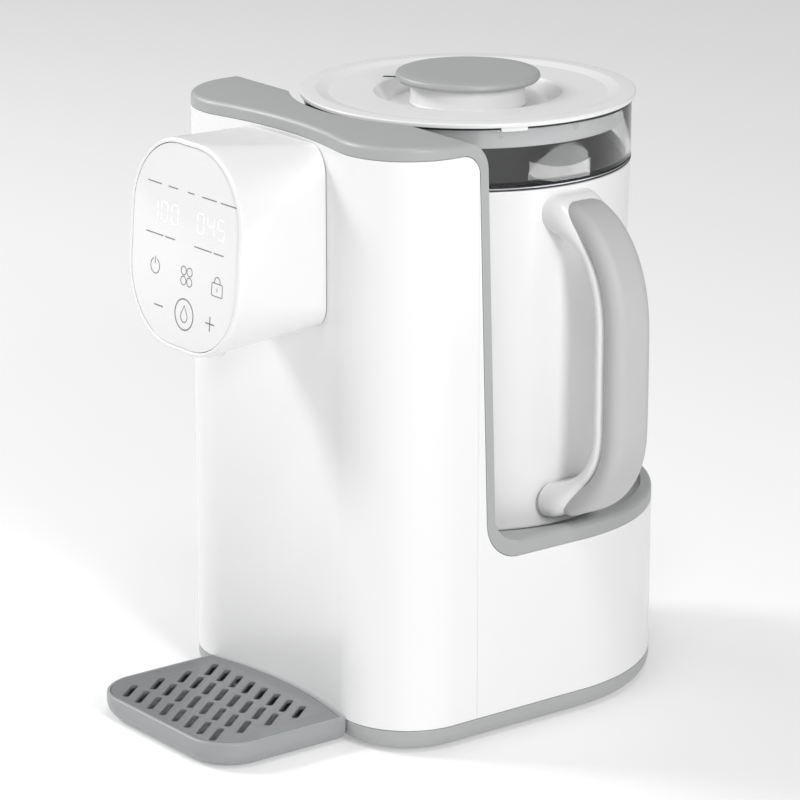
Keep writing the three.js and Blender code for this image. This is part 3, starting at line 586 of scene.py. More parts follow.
def draw_line(bm, points, width, closed=False):
    """A printed line: a ribbon of ink along points on the panel."""
    spots = [Vector(p) for p in points]
    count = len(spots)
    left, right = [], []
    for i, spot in enumerate(spots):
        before = spots[i - 1] if i or closed else spot
        after = spots[(i + 1) % count] if i + 1 < count or closed else spot
        ahead = (after - before).normalized()
        side = Vector((-ahead.y, ahead.x)) * width / 2
        if i == 0 and not closed:
            spot = spot - ahead * width / 4
        if i == count - 1 and not closed:
            spot = spot + ahead * width / 4
        left.append(spot + side)
        right.append(spot - side)
    outline = [left, right]
    top = [[bm.verts.new(on_panel(p.x, p.y, INK_FILM)) for p in edge] for edge in outline]
    low = [[bm.verts.new(on_panel(p.x, p.y, -0.01)) for p in edge] for edge in outline]
    last = count if closed else count - 1
    for i in range(last):
        j = (i + 1) % count
        bm.faces.new((top[0][i], top[0][j], top[1][j], top[1][i]))
        bm.faces.new((low[0][i], low[1][i], low[1][j], low[0][j]))
        bm.faces.new((top[0][i], low[0][i], low[0][j], top[0][j]))
        bm.faces.new((top[1][i], top[1][j], low[1][j], low[1][i]))
    if not closed:
        for i in (0, -1):
            bm.faces.new((top[0][i], top[1][i], low[1][i], low[0][i]))


def draw_round(bm, across, up, radius, width, start=0, end=360):
    """A printed ring, or a part of one; the angles are in degrees."""
    closed = end - start == 360
    points = corner_arc(across, up, radius, start, end, 32)
    draw_line(bm, points[:-1] if closed else points, width, closed)


LABEL_ROW = 26.8
CAPTION_ROW = 2.2
SIGN_ROW = -13.4
KEY_ROW = -32
FINE = 0.45
BROAD = 0.62
BAR = 0.55
POWER_X = -23.4
DRINKS_X = 2.9
DRINKS_SPREAD = 2.45
LOCK_X = 28.1
SHACKLE = 2.2
MINUS_X = -19.2
PLUS_X = 23.5
STROKE = 3.4
WATER_X = 2.2

bm = bmesh.new()
# mode labels, and a caption under each number: short bars in place of words
for middle, length in ((-26.6, 11), (-11.2, 7.6), (3.7, 5), (18.6, 11.6), (35.2, 14.4)):
    draw_line(bm, [(middle - length / 2, LABEL_ROW), (middle + length / 2, LABEL_ROW)], BAR)
for middle in (-20, 20.1):
    for start, end in ((-11.8, 2.2), (4, 11.8)):
        draw_line(bm, [(middle + start, CAPTION_ROW), (middle + end, CAPTION_ROW)], BAR)
# power sign: an open ring with a stroke at the top
draw_round(bm, POWER_X, SIGN_ROW, 3.7, FINE, 115, 425)
draw_line(bm, [(POWER_X, SIGN_ROW + 1.2), (POWER_X, SIGN_ROW + 4.6)], FINE)
# drinks sign: four rings
for across in (-DRINKS_SPREAD, DRINKS_SPREAD):
    for up in (-DRINKS_SPREAD, DRINKS_SPREAD):
        draw_round(bm, DRINKS_X + across, SIGN_ROW + up, 2.1, FINE)
# child lock: body, shackle and keyhole
lock = rounded_plan(4.3, 3.1, 0.8, 4)
draw_line(bm, [(LOCK_X + x, SIGN_ROW - 1.4 + y) for x, y in lock], FINE, True)
draw_line(bm, [(LOCK_X - SHACKLE, SIGN_ROW + 1.7)]
          + corner_arc(LOCK_X, SIGN_ROW + 2.6, SHACKLE, 180, 0, 14)
          + [(LOCK_X + SHACKLE, SIGN_ROW + 1.7)], FINE)
draw_line(bm, [(LOCK_X, SIGN_ROW - 2.2), (LOCK_X, SIGN_ROW - 0.6)], FINE)
# minus and plus
for middle in (MINUS_X, PLUS_X):
    draw_line(bm, [(middle - STROKE, KEY_ROW), (middle + STROKE, KEY_ROW)], BROAD)
draw_line(bm, [(PLUS_X, KEY_ROW - STROKE), (PLUS_X, KEY_ROW - BROAD / 2)], BROAD)
draw_line(bm, [(PLUS_X, KEY_ROW + BROAD / 2), (PLUS_X, KEY_ROW + STROKE)], BROAD)
# water key: a drop in a ring
draw_round(bm, WATER_X, KEY_ROW, 7.5, BROAD)
drop = corner_arc(WATER_X, KEY_ROW - 1.1, 2.7, 155, 385, 20)
draw_line(bm, drop + [(WATER_X, KEY_ROW + 4.4)], FINE, True)
ink = to_piece("panel_print", bm, grey_ink)
belongs(ink, "machine", "grey_abs")

# seven-segment numbers: which of the bars top, upper left, upper right, middle, lower left,
# lower right and bottom are lit
LIT = {"0": "1110111", "1": "0010010", "4": "0111010", "5": "1101011"}
SEGMENT_WIDTH = 0.95


def draw_digit(bm, digit, left, middle, width=5.2, height=9.4):
    """One number of the display, from its left edge and its middle height."""
    half = height / 2
    right = left + width
    ends = (((left, half), (right, half)), ((left, 0), (left, half)), ((right, 0), (right, half)),
            ((left, 0), (right, 0)), ((left, -half), (left, 0)), ((right, -half), (right, 0)),
            ((left, -half), (right, -half)))
    for lit, (start, end) in zip(LIT[digit], ends):
        if lit == "1":
            a, b = Vector(start), Vector(end)
            short = (b - a).normalized() * 0.75
            a, b = a + short, b - short
            draw_line(bm, [(a.x, a.y + middle), (b.x, b.y + middle)], SEGMENT_WIDTH)


NUMBER_ROW = 13.9
DIGIT_PITCH = 8.4
bm = bmesh.new()
for number, left in (("100", -28.4), ("045", 9.8)):
    for i, digit in enumerate(number):
        draw_digit(bm, digit, left + DIGIT_PITCH * i, NUMBER_ROW)
digits = to_piece("display_digits", bm, lit_window)
belongs(digits, "machine", "panel_gloss")

# ------------------------------------------------------------------ heater, outlet and valve lifter
# Where the jug stands, an aluminium heating plate shows in the floor, with the outlet socket and its
# seal in the middle. Pressed and turned parts, mounted from below.


def lathe_metal(name, colour, roughness, marks, depth):
    """A metal with rings left by the tool: 'marks' sets how close they lie and 'depth' is in mm."""
    metal, tree, where = blank_material(name)
    centred = add_node(tree, "ShaderNodeMapping", {"Location": -AXIS}, {"Vector": where})
    turning = add_node(tree, "ShaderNodeTexWave", {"Scale": marks / 20, "Distortion": 0.6, "Detail": 2},
                       {"Vector": centred}, wave_type="RINGS", rings_direction="Z")
    cloud = add_node(tree, "ShaderNodeTexNoise", {"Scale": 40}, {"Vector": where})
    shade = add_node(tree, "ShaderNodeMapRange", {"To Min": 0.9, "To Max": 1}, {"Value": cloud})
    tone = add_node(tree, "ShaderNodeHueSaturation", {"Color": linear(colour)}, {"Value": shade})
    polish = add_node(tree, "ShaderNodeMapRange", {"To Min": roughness * 0.8, "To Max": roughness * 1.2},
                      {"Value": turning.outputs["Fac"]})
    bump = add_node(tree, "ShaderNodeBump", {"Distance": depth / 1000}, {"Height": turning.outputs["Fac"]})
    shader = add_node(tree, "ShaderNodeBsdfPrincipled", {"Metallic": 1},
                      {"Base Color": tone, "Roughness": polish, "Normal": bump})
    add_node(tree, "ShaderNodeOutputMaterial", links={"Surface": shader})
    return metal


# Cast aluminium, machined on top: fine turning marks round the axis.
aluminium = lathe_metal("turned_aluminium", "#C3C5C7", 0.34, 700, 0.02)
# Stainless steel, brushed as it turns: closer and shallower marks, and a brighter sheen.
steel = lathe_metal("brushed_stainless_steel", "#BCBEC1", 0.26, 1600, 0.008)
# Silicone rubber: milky and satin.
silicone = moulded("milky_silicone", "#DAD8D2", 0.45, 1.5, 0.01, 0.03, **{"Subsurface Weight": 0.15})

heater_low, heater_high = reach("heater_plate")
flange = heater_low.z + 2.4
# the plate, the cup in its middle and the pin's shaft
HEATER_BORE = 15
HEATER_RADIUS = 51
FLANGE_RADIUS = 60
CUP_RADIUS = 13.5
CUP_BORE = 9.5
CUP_LOW = 68
CUP_HIGH = 95
HOSE_BORE = 2.5
SHAFT_RADIUS = 2
SHAFT_TOP = 95.9
turned_parts = (
    ("heating_plate", aluminium, "machine", "cast_aluminium", "heater_plate", 120, [
        (HEATER_BORE, heater_low.z, 0), (FLANGE_RADIUS, heater_low.z, 0.4), (FLANGE_RADIUS, flange, 0.4),
        (HEATER_RADIUS, flange, 0.3), (HEATER_RADIUS, heater_high.z, 0.8),
        (HEATER_BORE, heater_high.z, 0.5)]),
    ("plate_gasket", silicone, "machine", "silicone", "heater_gasket", 120, [
        (HEATER_RADIUS + 0.8, flange + 0.4, 0.3), (FLANGE_RADIUS, flange + 0.4, 0.3),
        (FLANGE_RADIUS, PLATFORM_EDGE - 0.1, 0.3), (HEATER_RADIUS + 0.8, PLATFORM_EDGE - 0.1, 0.3)]),
    ("outlet_cup", white_abs, "machine", "white_abs", "outlet_socket", 64, [
        (HOSE_BORE, CUP_LOW, 0), (CUP_RADIUS, CUP_LOW, 0.6), (CUP_RADIUS, CUP_HIGH, 0.3),
        (CUP_BORE, CUP_HIGH, 0.3), (CUP_BORE, CUP_LOW + 4, 0.5), (HOSE_BORE, CUP_LOW + 4, 0)]),
    ("outlet_seal", silicone, "machine", "silicone", "socket_seal", 64, [
        (CUP_BORE + 0.3, CUP_HIGH + 0.3, 0.2), (CUP_RADIUS - 0.3, CUP_HIGH + 0.3, 0.2),
        (CUP_RADIUS - 0.9, CUP_HIGH + 1.6, 0.5), (CUP_BORE + 0.7, CUP_HIGH + 1.6, 0.5)]),
    ("lifter_pin", steel, "plunger", "steel", "valve_plunger", 48, [
        (0, 38, 0), (6, 38, 0.5), (6, 60, 0.4), (SHAFT_RADIUS, 62, 0.4), (SHAFT_RADIUS, SHAFT_TOP, 0.5),
        (0, SHAFT_TOP, 0)]),
)
for part in turned_parts:
    turned_part(*part)

# ------------------------------------------------------------------ jug
# The jug is a glass vessel in a white ABS jacket, with a dark sealing ring where the jacket ends. Its
# foot is a steel plate with a spring valve in the middle, pushed up by the pin in the machine.

JACKET_LOW_RADIUS = 76
BASE_HOLE = 67
jacket_low, jacket_high = reach("jug_jacket")
jacket_top_radius = -jacket_low.y
collar_low, collar_high = reach("jug_collar")
glass_low, glass_high = reach("jug_glass")
glass_radius = glass_high.y


def jacket_radius(z):
    """The jacket's outside at a height."""
    rise = (z - jacket_low.z) / (jacket_high.z - jacket_low.z)
    return JACKET_LOW_RADIUS + (jacket_top_radius - JACKET_LOW_RADIUS) * rise


# Unpolished dark grey on the jacket's inside: painted shade, standing in for the dimness inside the jug
# that shows through the glass.
jacket_lining_painted_shade = moulded("jacket_inside_painted_shade", "#3B3D3F", 0.35, 1.2, 0.01)
jacket = turned("jug_jacket_wall", [
    (BASE_HOLE, jacket_low.z, 0), (jacket_radius(jacket_low.z), jacket_low.z, 2.2),
    (jacket_top_radius, jacket_high.z, 0.6), (jacket_top_radius - 2, jacket_high.z, 0.2),
    (jacket_radius(jacket_low.z) - 2, jacket_low.z + 3.2, 2), (BASE_HOLE, jacket_low.z + 3.2, 0)],
    white_abs, jacket_lining_painted_shade, turns=256)
# the faces that look inwards, towards the glass, take the painted shade
for face in jacket.data.polygons:
    radial = face.center - AXIS
    if face.normal.x * radial.x + face.normal.y * radial.y < -0.01:
        face.material_index = 1
belongs(smooth(jacket), "jug", "white_abs", "jug_jacket")

# EPDM rubber: black, with the low sheen of a moulded ring.
black_epdm = moulded("black_epdm_rubber", "#1B1B1C", 0.38, 0.8, 0.006)
# Polished steel band set in the ring.
groove = (collar_low.z + collar_high.z) / 2
collar = turned("jug_ring", [
    (glass_radius - 2, collar_low.z, 0), (glass_radius, collar_low.z, 0.2),
    (glass_radius, groove - 0.35, 0.1), (glass_radius - 0.3, groove - 0.3, 0),
    (glass_radius - 0.3, groove + 0.3, 0), (glass_radius, groove + 0.35, 0.1),
    (glass_radius, collar_high.z, 0.2), (glass_radius - 2, collar_high.z, 0)],
    black_epdm, steel, turns=256)
for face in collar.data.polygons:
    if abs(face.center.z * 1000 - groove) < 0.2:
        face.material_index = 1
belongs(smooth(collar), "jug", "dark_gasket", "jug_collar")

# Borosilicate glass: clear, with the faint ripple of a blown wall, and painted shade that darkens the wall
# where it is seen edge-on, for the glass's dark edges.
glass, tree, where = blank_material("borosilicate_glass")
ripple = add_node(tree, "ShaderNodeTexNoise", {"Scale": 25, "Detail": 1}, {"Vector": where})
bump = add_node(tree, "ShaderNodeBump", {"Distance": 0.00006}, {"Height": ripple})
smear = add_node(tree, "ShaderNodeMapRange", {"To Min": 0, "To Max": 0.04}, {"Value": ripple})
# the wall turns dark grey as it is seen edge-on: painted shade
grazing = add_node(tree, "ShaderNodeLayerWeight", {"Blend": 0.25})
edge = add_node(tree, "ShaderNodeMapRange",
                {"From Min": 0.55, "From Max": 0.9, "To Min": 0, "To Max": 1},
                {"Value": grazing.outputs["Facing"]})
glass_tint_with_painted_edge_shade = add_node(tree, "ShaderNodeMix", links={"Factor": edge}, data_type="RGBA")
glass_tint_with_painted_edge_shade.inputs["A"].default_value = linear("#F6F7F7")
glass_tint_with_painted_edge_shade.inputs["B"].default_value = linear("#77797A")
shader = add_node(tree, "ShaderNodeBsdfPrincipled", {"IOR": 1.47, "Transmission Weight": 1},
                  {"Base Color": glass_tint_with_painted_edge_shade, "Normal": bump, "Roughness": smear})
add_node(tree, "ShaderNodeOutputMaterial", links={"Surface": shader})

GLASS_WALL = 2.2
neck = jacket_top_radius - 2.3
bend = glass_low.z + 5
foot_radius = jacket_radius(bend) - 2.3
vessel = turned("jug_vessel", [
    (BASE_HOLE - 5, glass_low.z, 0), (foot_radius, glass_low.z, 4), (neck, jacket_high.z, 0),
    (neck, collar_high.z + SEAM, 0.2), (glass_radius, collar_high.z + SEAM, 0.5),
    (glass_radius, glass_high.z, 0.8), (glass_radius - GLASS_WALL, glass_high.z, 0.8),
    (glass_radius - GLASS_WALL, collar_high.z + 2, 1.5), (neck - GLASS_WALL, collar_high.z - 1, 1.5),
    (foot_radius - GLASS_WALL, glass_low.z + GLASS_WALL, 4), (BASE_HOLE - 5, glass_low.z + GLASS_WALL, 0)],
    glass, turns=256)
belongs(smooth(vessel, 50), "jug", "clear_glass", "jug_glass")

jug_parts = (
    ("jug_foot_plate", steel, "jug", "steel", "jug_base_plate", 120, [
        (13.2, 95.8, 0.3), (66, 95.8, 0.6), (66, 97.7, 0), (13.2, 97.7, 0)]),
    ("jug_valve_seat", silicone, "jug", "silicone", "valve_seat", 64, [
        (5, 96.9, 0.4), (12.8, 96.9, 0.4), (12.8, 98, 0), (16, 98, 0), (16, 100, 0.5), (5, 100, 0.5)]),
    ("jug_valve", steel, "poppet", "steel", "valve_poppet", 48, [
        (0, 96.2, 0), (2, 96.2, 0.3), (2, 100.3, 0.3), (8, 100.3, 0.3), (8, 102, 0.4), (0, 103.5, 0)]),
)
for part in jug_parts:
    turned_part(*part)

# ------------------------------------------------------------------ handle
# A white ABS spine stands out from the jacket, welded at both roots, and a soft grey grip is moulded
# over its outside. The grip ends in round tongues, and the spine swells up round them.

# Thermoplastic rubber over ABS: a dry, powdery sheen with no clear reflection.
soft_grip = moulded("soft_touch_rubber", "#BDBDBD", 0.52, 0.5, 0.014, 0.03,
                    **{"Sheen Weight": 0.25, "Sheen Roughness": 0.4})

GRIP_THICKNESS = 14
ROOT_X = 78.2                                     # just inside the jacket
SPINE_THICKNESS = 5.5
GRIP_HALF_WIDTH = 11.5
SPINE_HALF_WIDTH = 10.8
HANDLE_TOP = 251
HANDLE_LOW = 110
UPPER_ROOT = 12
LOWER_ROOT = 9.5
seam_x = reach("handle_grip")[1].x - GRIP_THICKNESS


def bezier(a, b, c, d, steps=60):
    """Points of a curve from a to d, pulled towards b and c."""
    points = []
    for i in range(steps + 1):
        t = i / steps
        points.append(tuple(a[k] * (1 - t) ** 3 + 3 * b[k] * t * (1 - t) ** 2
                            + 3 * c[k] * t * t * (1 - t) + d[k] * t ** 3 for k in (0, 1)))
    return points


upper_bend = HANDLE_TOP - 51
lower_bend = HANDLE_LOW + 42
seam_line = [Vector(p) for p in (
    [(ROOT_X, HANDLE_TOP)]
    + bezier((80, HANDLE_TOP), (99, HANDLE_TOP - 3), (seam_x, upper_bend + 34), (seam_x, upper_bend))
    + bezier((seam_x, lower_bend), (seam_x, lower_bend - 24), (99, HANDLE_LOW + 7), (80, HANDLE_LOW))
    + [(ROOT_X, HANDLE_LOW)])]
seam_lengths = [0]
for a, b in zip(seam_line, seam_line[1:]):
    seam_lengths.append(seam_lengths[-1] + (b - a).length)
seam_length = seam_lengths[-1]


def on_seam(distance):
    """Place on the line between spine and grip, as (x, z), at a distance along it."""
    i = 0
    while i < len(seam_line) - 2 and seam_lengths[i + 1] < distance:
        i += 1
    a, b = seam_line[i], seam_line[i + 1]
    share = (distance - seam_lengths[i]) / (seam_lengths[i + 1] - seam_lengths[i])
    return a + (b - a) * share


def handle_ring(distance, inner, outer, half_width, rounding, steps=10):
    """Ring across the handle; inner and outer are distances outwards from the seam."""
    spot = on_seam(distance)
    ahead = (on_seam(min(distance + 1.5, seam_length)) - on_seam(max(distance - 1.5, 0))).normalized()
    outwards = Vector((-ahead.y, ahead.x))
    half = (outer - inner) / 2
    middle = (inner + outer) / 2
    radius = min(half_width, half) * rounding
    return [(spot.x + outwards.x * (x + middle), y, spot.y + outwards.y * (x + middle))
            for x, y in rounded_plan(half, half_width, radius, steps)]


def tip(distance, length):
    """Round end of a tongue: 0 at its tip, rising to 1."""
    near = min(distance, length)
    return math.sqrt(max(1 - (1 - near / length) ** 2, 0))


def flare(distance):
    """Swelling of the spine at its roots: 1 at the jacket, fading to 0."""
    near = min(distance, seam_length - distance) / 30
    return max(0, 1 - near) ** 2 * (3 - 2 * max(0, 1 - near)) if near < 1 else 0


spine_rings = []
for i in range(121):
    d = seam_length * i / 120
    swell = flare(d)
    swelling = UPPER_ROOT if d < seam_length / 2 else LOWER_ROOT
    spine_rings.append(handle_ring(d, -SPINE_THICKNESS - 1.5 * swell, 0.6 + swelling * swell,
                                   SPINE_HALF_WIDTH + 6 * swell, 0.95))
spine = to_piece("handle_spine_moulding", stack(spine_rings), white_abs)
belongs(smooth(spine, 60), "jug", "white_abs", "handle_spine")

GRIP_START = 2
GRIP_TIP = 11
grip_rings = []
stations = [GRIP_START + GRIP_TIP * (1 - math.cos(math.pi / 2 * i / 12)) for i in range(12)]
stations += [GRIP_START + GRIP_TIP + (seam_length - 2 * (GRIP_START + GRIP_TIP)) * i / 90
             for i in range(91)]
stations += [seam_length - s for s in reversed(stations[:12])]
for d in stations:
    near = min(d, seam_length - d) - GRIP_START
    root_depth = 12 if d < seam_length / 2 else 10.5
    depth = root_depth + (GRIP_THICKNESS - root_depth) * math.sin(math.pi * d / seam_length)
    end = max(tip(near, GRIP_TIP), 0.03)
    grip_rings.append(handle_ring(d, 0.3, 3 + (depth - 3) * end, GRIP_HALF_WIDTH * end, 0.92))
grip = to_piece("handle_grip_skin", stack(grip_rings), soft_grip)
belongs(smooth(grip, 60), "jug", "grip_soft", "handle_grip")

# ------------------------------------------------------------------ lid
# The lid is a white ABS plate with a raised rim and a dished middle, a milky skirt that goes down
# inside the glass, and a black seal under the rim. A white neck carries the flat grey knob.

lid_high = reach("lid_plate")[1]
lid_radius = lid_high.x
DISH_FLOOR = 292.8
LID_RING = 298.9
VENT_X = -48.6
VENT_Y = -11.4
VENT_TURN = math.radians(45)
lid = turned("lid_moulding", [
    (0, DISH_FLOOR, 0), (40, DISH_FLOOR, 3), (46.5, LID_RING, 1.6), (69, LID_RING, 3),
    (75, lid_high.z, 2), (lid_radius, lid_high.z, 0.9), (lid_radius, 298, 0.5), (50, 296.8, 1),
    (42, DISH_FLOOR - 1.8, 2), (0, DISH_FLOOR - 1.8, 0)], white_abs, turns=256)


def vent(spare, low, high):
    """The steam vent's slot, smaller by what is spare, between two heights."""
    outline = [(VENT_X + x * math.cos(VENT_TURN) - y * math.sin(VENT_TURN),
                VENT_Y + x * math.sin(VENT_TURN) + y * math.cos(VENT_TURN))
               for x, y in rounded_plan(3.4 - spare, 1.9 - spare, 0.8, 4)]
    return stack([raised(outline, low), raised(outline, high)])


cut(lid, to_piece("steam_vent", vent(0, 280, 320)))
belongs(smooth(lid), "lid", "white_abs", "lid_plate")

seal_low, seal_high = reach("lid_seal")
seal_radius = lid_radius - 0.9
SEAL_TOP = 297.9
SKIRT_INSIDE = 74
SKIRT_BORE = 60
SKIRT_PLATE = 1.8
turned_part("lid_seal_ring", black_epdm, "lid", "dark_gasket", "lid_seal", 256, [
    (SKIRT_INSIDE, seal_low.z, 0.1), (seal_radius, seal_low.z, 0.25), (seal_radius, SEAL_TOP, 0.2),
    (78, SEAL_TOP, 0), (SKIRT_INSIDE, seal_high.z - 0.2, 0)])

# the vent is closed from below by a black rubber flap, set there as painted shade so that the slot reads
# as a dark hole
vent_flap_painted_shade = to_piece("steam_flap", vent(0.15, 297.2, 298.7), black_epdm)
belongs(smooth(vent_flap_painted_shade), "lid", "dark_gasket")

# Natural polypropylene: milky, so that only a little light comes through.
frosted, tree, where = blank_material("milky_polypropylene")
cloud = add_node(tree, "ShaderNodeTexNoise", {"Scale": 60, "Detail": 3}, {"Vector": where})
polish = add_node(tree, "ShaderNodeMapRange", {"To Min": 0.24, "To Max": 0.36}, {"Value": cloud})
shader = add_node(tree, "ShaderNodeBsdfPrincipled",
                  {"Base Color": linear("#FBFBFB"), "IOR": 1.49, "Transmission Weight": 0.08},
                  {"Roughness": polish})
add_node(tree, "ShaderNodeOutputMaterial", links={"Surface": shader})
skirt_low, skirt_high = reach("lid_skirt")
turned_part("lid_skirt_ring", frosted, "lid", "frosted_skirt", "lid_skirt", 256, [
    (SKIRT_BORE, skirt_high.z - SKIRT_PLATE, 0.3), (SKIRT_INSIDE, skirt_high.z - SKIRT_PLATE, 0),
    (SKIRT_INSIDE, skirt_low.z, 0.6), (skirt_high.x, skirt_low.z, 0.8),
    (skirt_high.x, skirt_high.z, 0.6), (SKIRT_BORE, skirt_high.z, 0.3)])

# a small tab of the lid that finds its place over the pouring side
TAB_STEPS = 8
TAB_START = -27.3
TAB_TURN = 9.2
tab_section = ((80.4, 295.9), (82.4, 295.9), (82.4, 298.2), (80.4, 298.2))
rings = []
for i in range(TAB_STEPS + 1):
    turn = math.radians(TAB_START + TAB_TURN * i / TAB_STEPS)
    rings.append([(r * math.cos(turn), r * math.sin(turn), z) for r, z in tab_section])
tab = to_piece("lid_tab", stack(rings), white_abs)
smooth(ease_edges(tab, 0.3))
belongs(tab, "lid", "white_abs")

neck_low, neck_high = reach("knob_neck")
NECK_RADIUS = 28.3
NECK_BORE = 24.5
turned_part("knob_neck_tube", white_abs, "lid", "white_abs", "knob_neck", 160, [
    (NECK_BORE, neck_low.z, 0), (NECK_RADIUS + 0.8, neck_low.z, 0.3), (NECK_RADIUS, neck_low.z + 1.6, 0.8),
    (NECK_RADIUS, neck_high.z, 0.3), (NECK_BORE, neck_high.z, 0)])

knob_low, knob_high = reach("knob_cap")
knob_radius = knob_high.x
turned_part("knob_disc", grey_abs, "lid", "grey_abs", "knob_cap", 200, [
    (0, knob_low.z, 0), (knob_radius - 1.4, knob_low.z, 1.2), (knob_radius, knob_low.z + 1.6, 1.2),
    (knob_radius - 0.6, knob_high.z - 0.6, 1.5), (knob_radius - 5, knob_high.z, 4),
    (0, knob_high.z, 0)])

# ------------------------------------------------------------------ drip tray and grille
# The tray is a shallow dish with a rounded underside that hooks against the body's front. A flat plate
# with rows of slanting slots lies in its rebate. Both are moulded in a darker etched ABS.

# Etched ABS in two darker greys: the dish, and the plate a shade darker.
tray_grey = moulded("etched_mid_grey_abs", "#9B9D9F", 0.38, 0.7, 0.012, 0.03, IOR=1.53)
grille_grey = moulded("etched_dark_grey_abs", "#7C7E80", 0.42, 0.7, 0.014, 0.03, IOR=1.53)

tray_low, tray_high = reach("drip_tray")
TRAY_CORNER = 24
TRAY_UNDERCUT = 9
TRAY_RIM = 1.3
TRAY_GAP = 0.6                                    # between the tray's back and the body
tray_half = tray_high.x


def tray_plan(inset, gap, steps=24, back_steps=40):
    """Plan of the tray: round front corners, and a back that follows the body at a gap."""
    x = tray_half - TRAY_CORNER
    y = tray_low.y + TRAY_CORNER
    half = tray_half - inset
    back = []
    for i in range(back_steps + 1):
        across = half - 2 * half * i / back_steps
        back.append((across, body_front(across) - gap))
    return (corner_arc(-x, y, TRAY_CORNER - inset, 180, 270, steps)
            + corner_arc(x, y, TRAY_CORNER - inset, 270, 360, steps) + back)


rings = []
for i in range(13):
    turn = math.radians(7.5 * i)
    inset = TRAY_UNDERCUT * (1 - math.sin(turn))
    rings.append(raised(tray_plan(inset, TRAY_GAP), TRAY_UNDERCUT * (1 - math.cos(turn))))
for i in range(6):
    turn = math.radians(18 * i)
    inset = TRAY_RIM * (1 - math.cos(turn))
    rings.append(raised(tray_plan(inset, TRAY_GAP + inset), tray_high.z - TRAY_RIM * (1 - math.sin(turn))))
# down the inside: the rim's edge, the rebate for the plate, the wall and the floor
REBATE = 10.9
for inset, gap, height in (
        (1.6, 2.2, tray_high.z), (1.8, 2.4, tray_high.z - 0.3), (1.8, 2.4, REBATE), (4.5, 5, REBATE),
        (4.5, 5, 4), (6, 6.5, 2.5)):
    rings.append(raised(tray_plan(inset, gap), height))
tray = to_piece("tray_dish", stack(rings), tray_grey)
belongs(smooth(tray, 40), "tray", "tray_grey", "drip_tray")

grille_low, grille_high = reach("drip_grille")
rings = []
for inset, height in ((0.3, grille_low.z), (0, grille_low.z + 0.3), (0, grille_high.z - 0.4),
                      (0.12, grille_high.z - 0.1), (0.4, grille_high.z)):
    rings.append(raised(tray_plan(2.1 + inset, 2.7 + inset), height))
grille = to_piece("grille_plate", stack(rings), grille_grey)

tree = bpy.data.node_groups.new("slanting_slots", "GeometryNodeTree")
inputs = group_inputs(tree, (
    ("Plate", "Geometry"), ("First slot", "Vector"), ("Column step", "Vector"),
    ("Row step", "Vector"), ("Columns", "Int"), ("Rows", "Int"),
    ("Slot width", "Float"), ("Slot length", "Float"),
    ("Slot rounding", "Float"), ("Slot depth", "Float"),
    ("Slant", "Float"), ("Plastic", "Material")))
tree.interface.new_socket("Grille", in_out="OUTPUT", socket_type="NodeSocketGeometry")
given = add_node(tree, "NodeGroupInput").outputs
outline = add_node(tree, "GeometryNodeCurvePrimitiveQuadrilateral",
                   links={"Width": given["Slot width"], "Height": given["Slot length"]})
rounded = add_node(tree, "GeometryNodeFilletCurve", {"Count": 5},
                   {"Curve": outline, "Radius": given["Slot rounding"]}, mode="POLY")
filled = add_node(tree, "GeometryNodeFillCurve", links={"Curve": rounded}, mode="NGONS")
down = add_node(tree, "ShaderNodeCombineXYZ", links={"Z": given["Slot depth"]})
drawn = add_node(tree, "GeometryNodeExtrudeMesh", {"Individual": False},
                 {"Mesh": filled, "Offset": down})
underside = add_node(tree, "GeometryNodeFlipFaces", links={"Mesh": filled})
closed = add_node(tree, "GeometryNodeJoinGeometry")
tree.links.new(drawn.outputs["Mesh"], closed.inputs["Geometry"])
tree.links.new(underside.outputs["Mesh"], closed.inputs["Geometry"])
cutter = add_node(tree, "GeometryNodeMergeByDistance", {"Distance": 0.00001}, {"Geometry": closed})
columns_line = add_node(tree, "GeometryNodeMeshLine",
                        links={"Count": given["Columns"], "Start Location": given["First slot"],
                               "Offset": given["Column step"]}, mode="OFFSET")
row_line = add_node(tree, "GeometryNodeMeshLine",
                    links={"Count": given["Rows"], "Offset": given["Row step"]}, mode="OFFSET")
grid = add_node(tree, "GeometryNodeInstanceOnPoints",
                links={"Points": row_line, "Instance": columns_line})
spots = add_node(tree, "GeometryNodeRealizeInstances", links={"Geometry": grid})
turn = add_node(tree, "ShaderNodeCombineXYZ", links={"Z": given["Slant"]})
slots = add_node(tree, "GeometryNodeInstanceOnPoints", links={"Points": spots, "Instance": cutter,
                        "Rotation": turn})
tools = add_node(tree, "GeometryNodeRealizeInstances", links={"Geometry": slots})
pierced = add_node(tree, "GeometryNodeMeshBoolean", operation="DIFFERENCE", solver="EXACT")
tree.links.new(given["Plate"], pierced.inputs["Mesh 1"])
tree.links.new(tools.outputs["Geometry"], pierced.inputs["Mesh 2"])
real = add_node(tree, "GeometryNodeRealizeInstances", links={"Geometry": pierced})
coated = add_node(tree, "GeometryNodeSetMaterial",
                  links={"Geometry": real, "Material": given["Plastic"]})
add_node(tree, "NodeGroupOutput", links={"Grille": coated})
run_group(grille, tree, inputs, {
    "First slot": Vector((-38, -181, grille_low.z - 2)) / 1000 + AXIS,
    "Column step": Vector((0.0106, 0, 0)), "Row step": Vector((0, 0.0163, 0)), "Columns": 8,
    "Rows": 4, "Slot width": 0.0035, "Slot length": 0.0165, "Slot rounding": 0.0012,
    "Slot depth": 0.006, "Slant": math.radians(38), "Plastic": grille_grey})
smooth(ease_edges(grille, 0.45, 2, 60))
belongs(grille, "grille", "grille_grey", "drip_grille")

# ------------------------------------------------------------------ works inside
# The pump, hoses, boards, screws and inlet keep their plain shapes: they sit behind the shells and
# each takes the finish of what it is made of.

# Glass-filled nylon: black, slightly rough from the fibres at its skin.
black_nylon = moulded("black_glass_filled_nylon", "#1E1E20", 0.5, 0.4, 0.02)
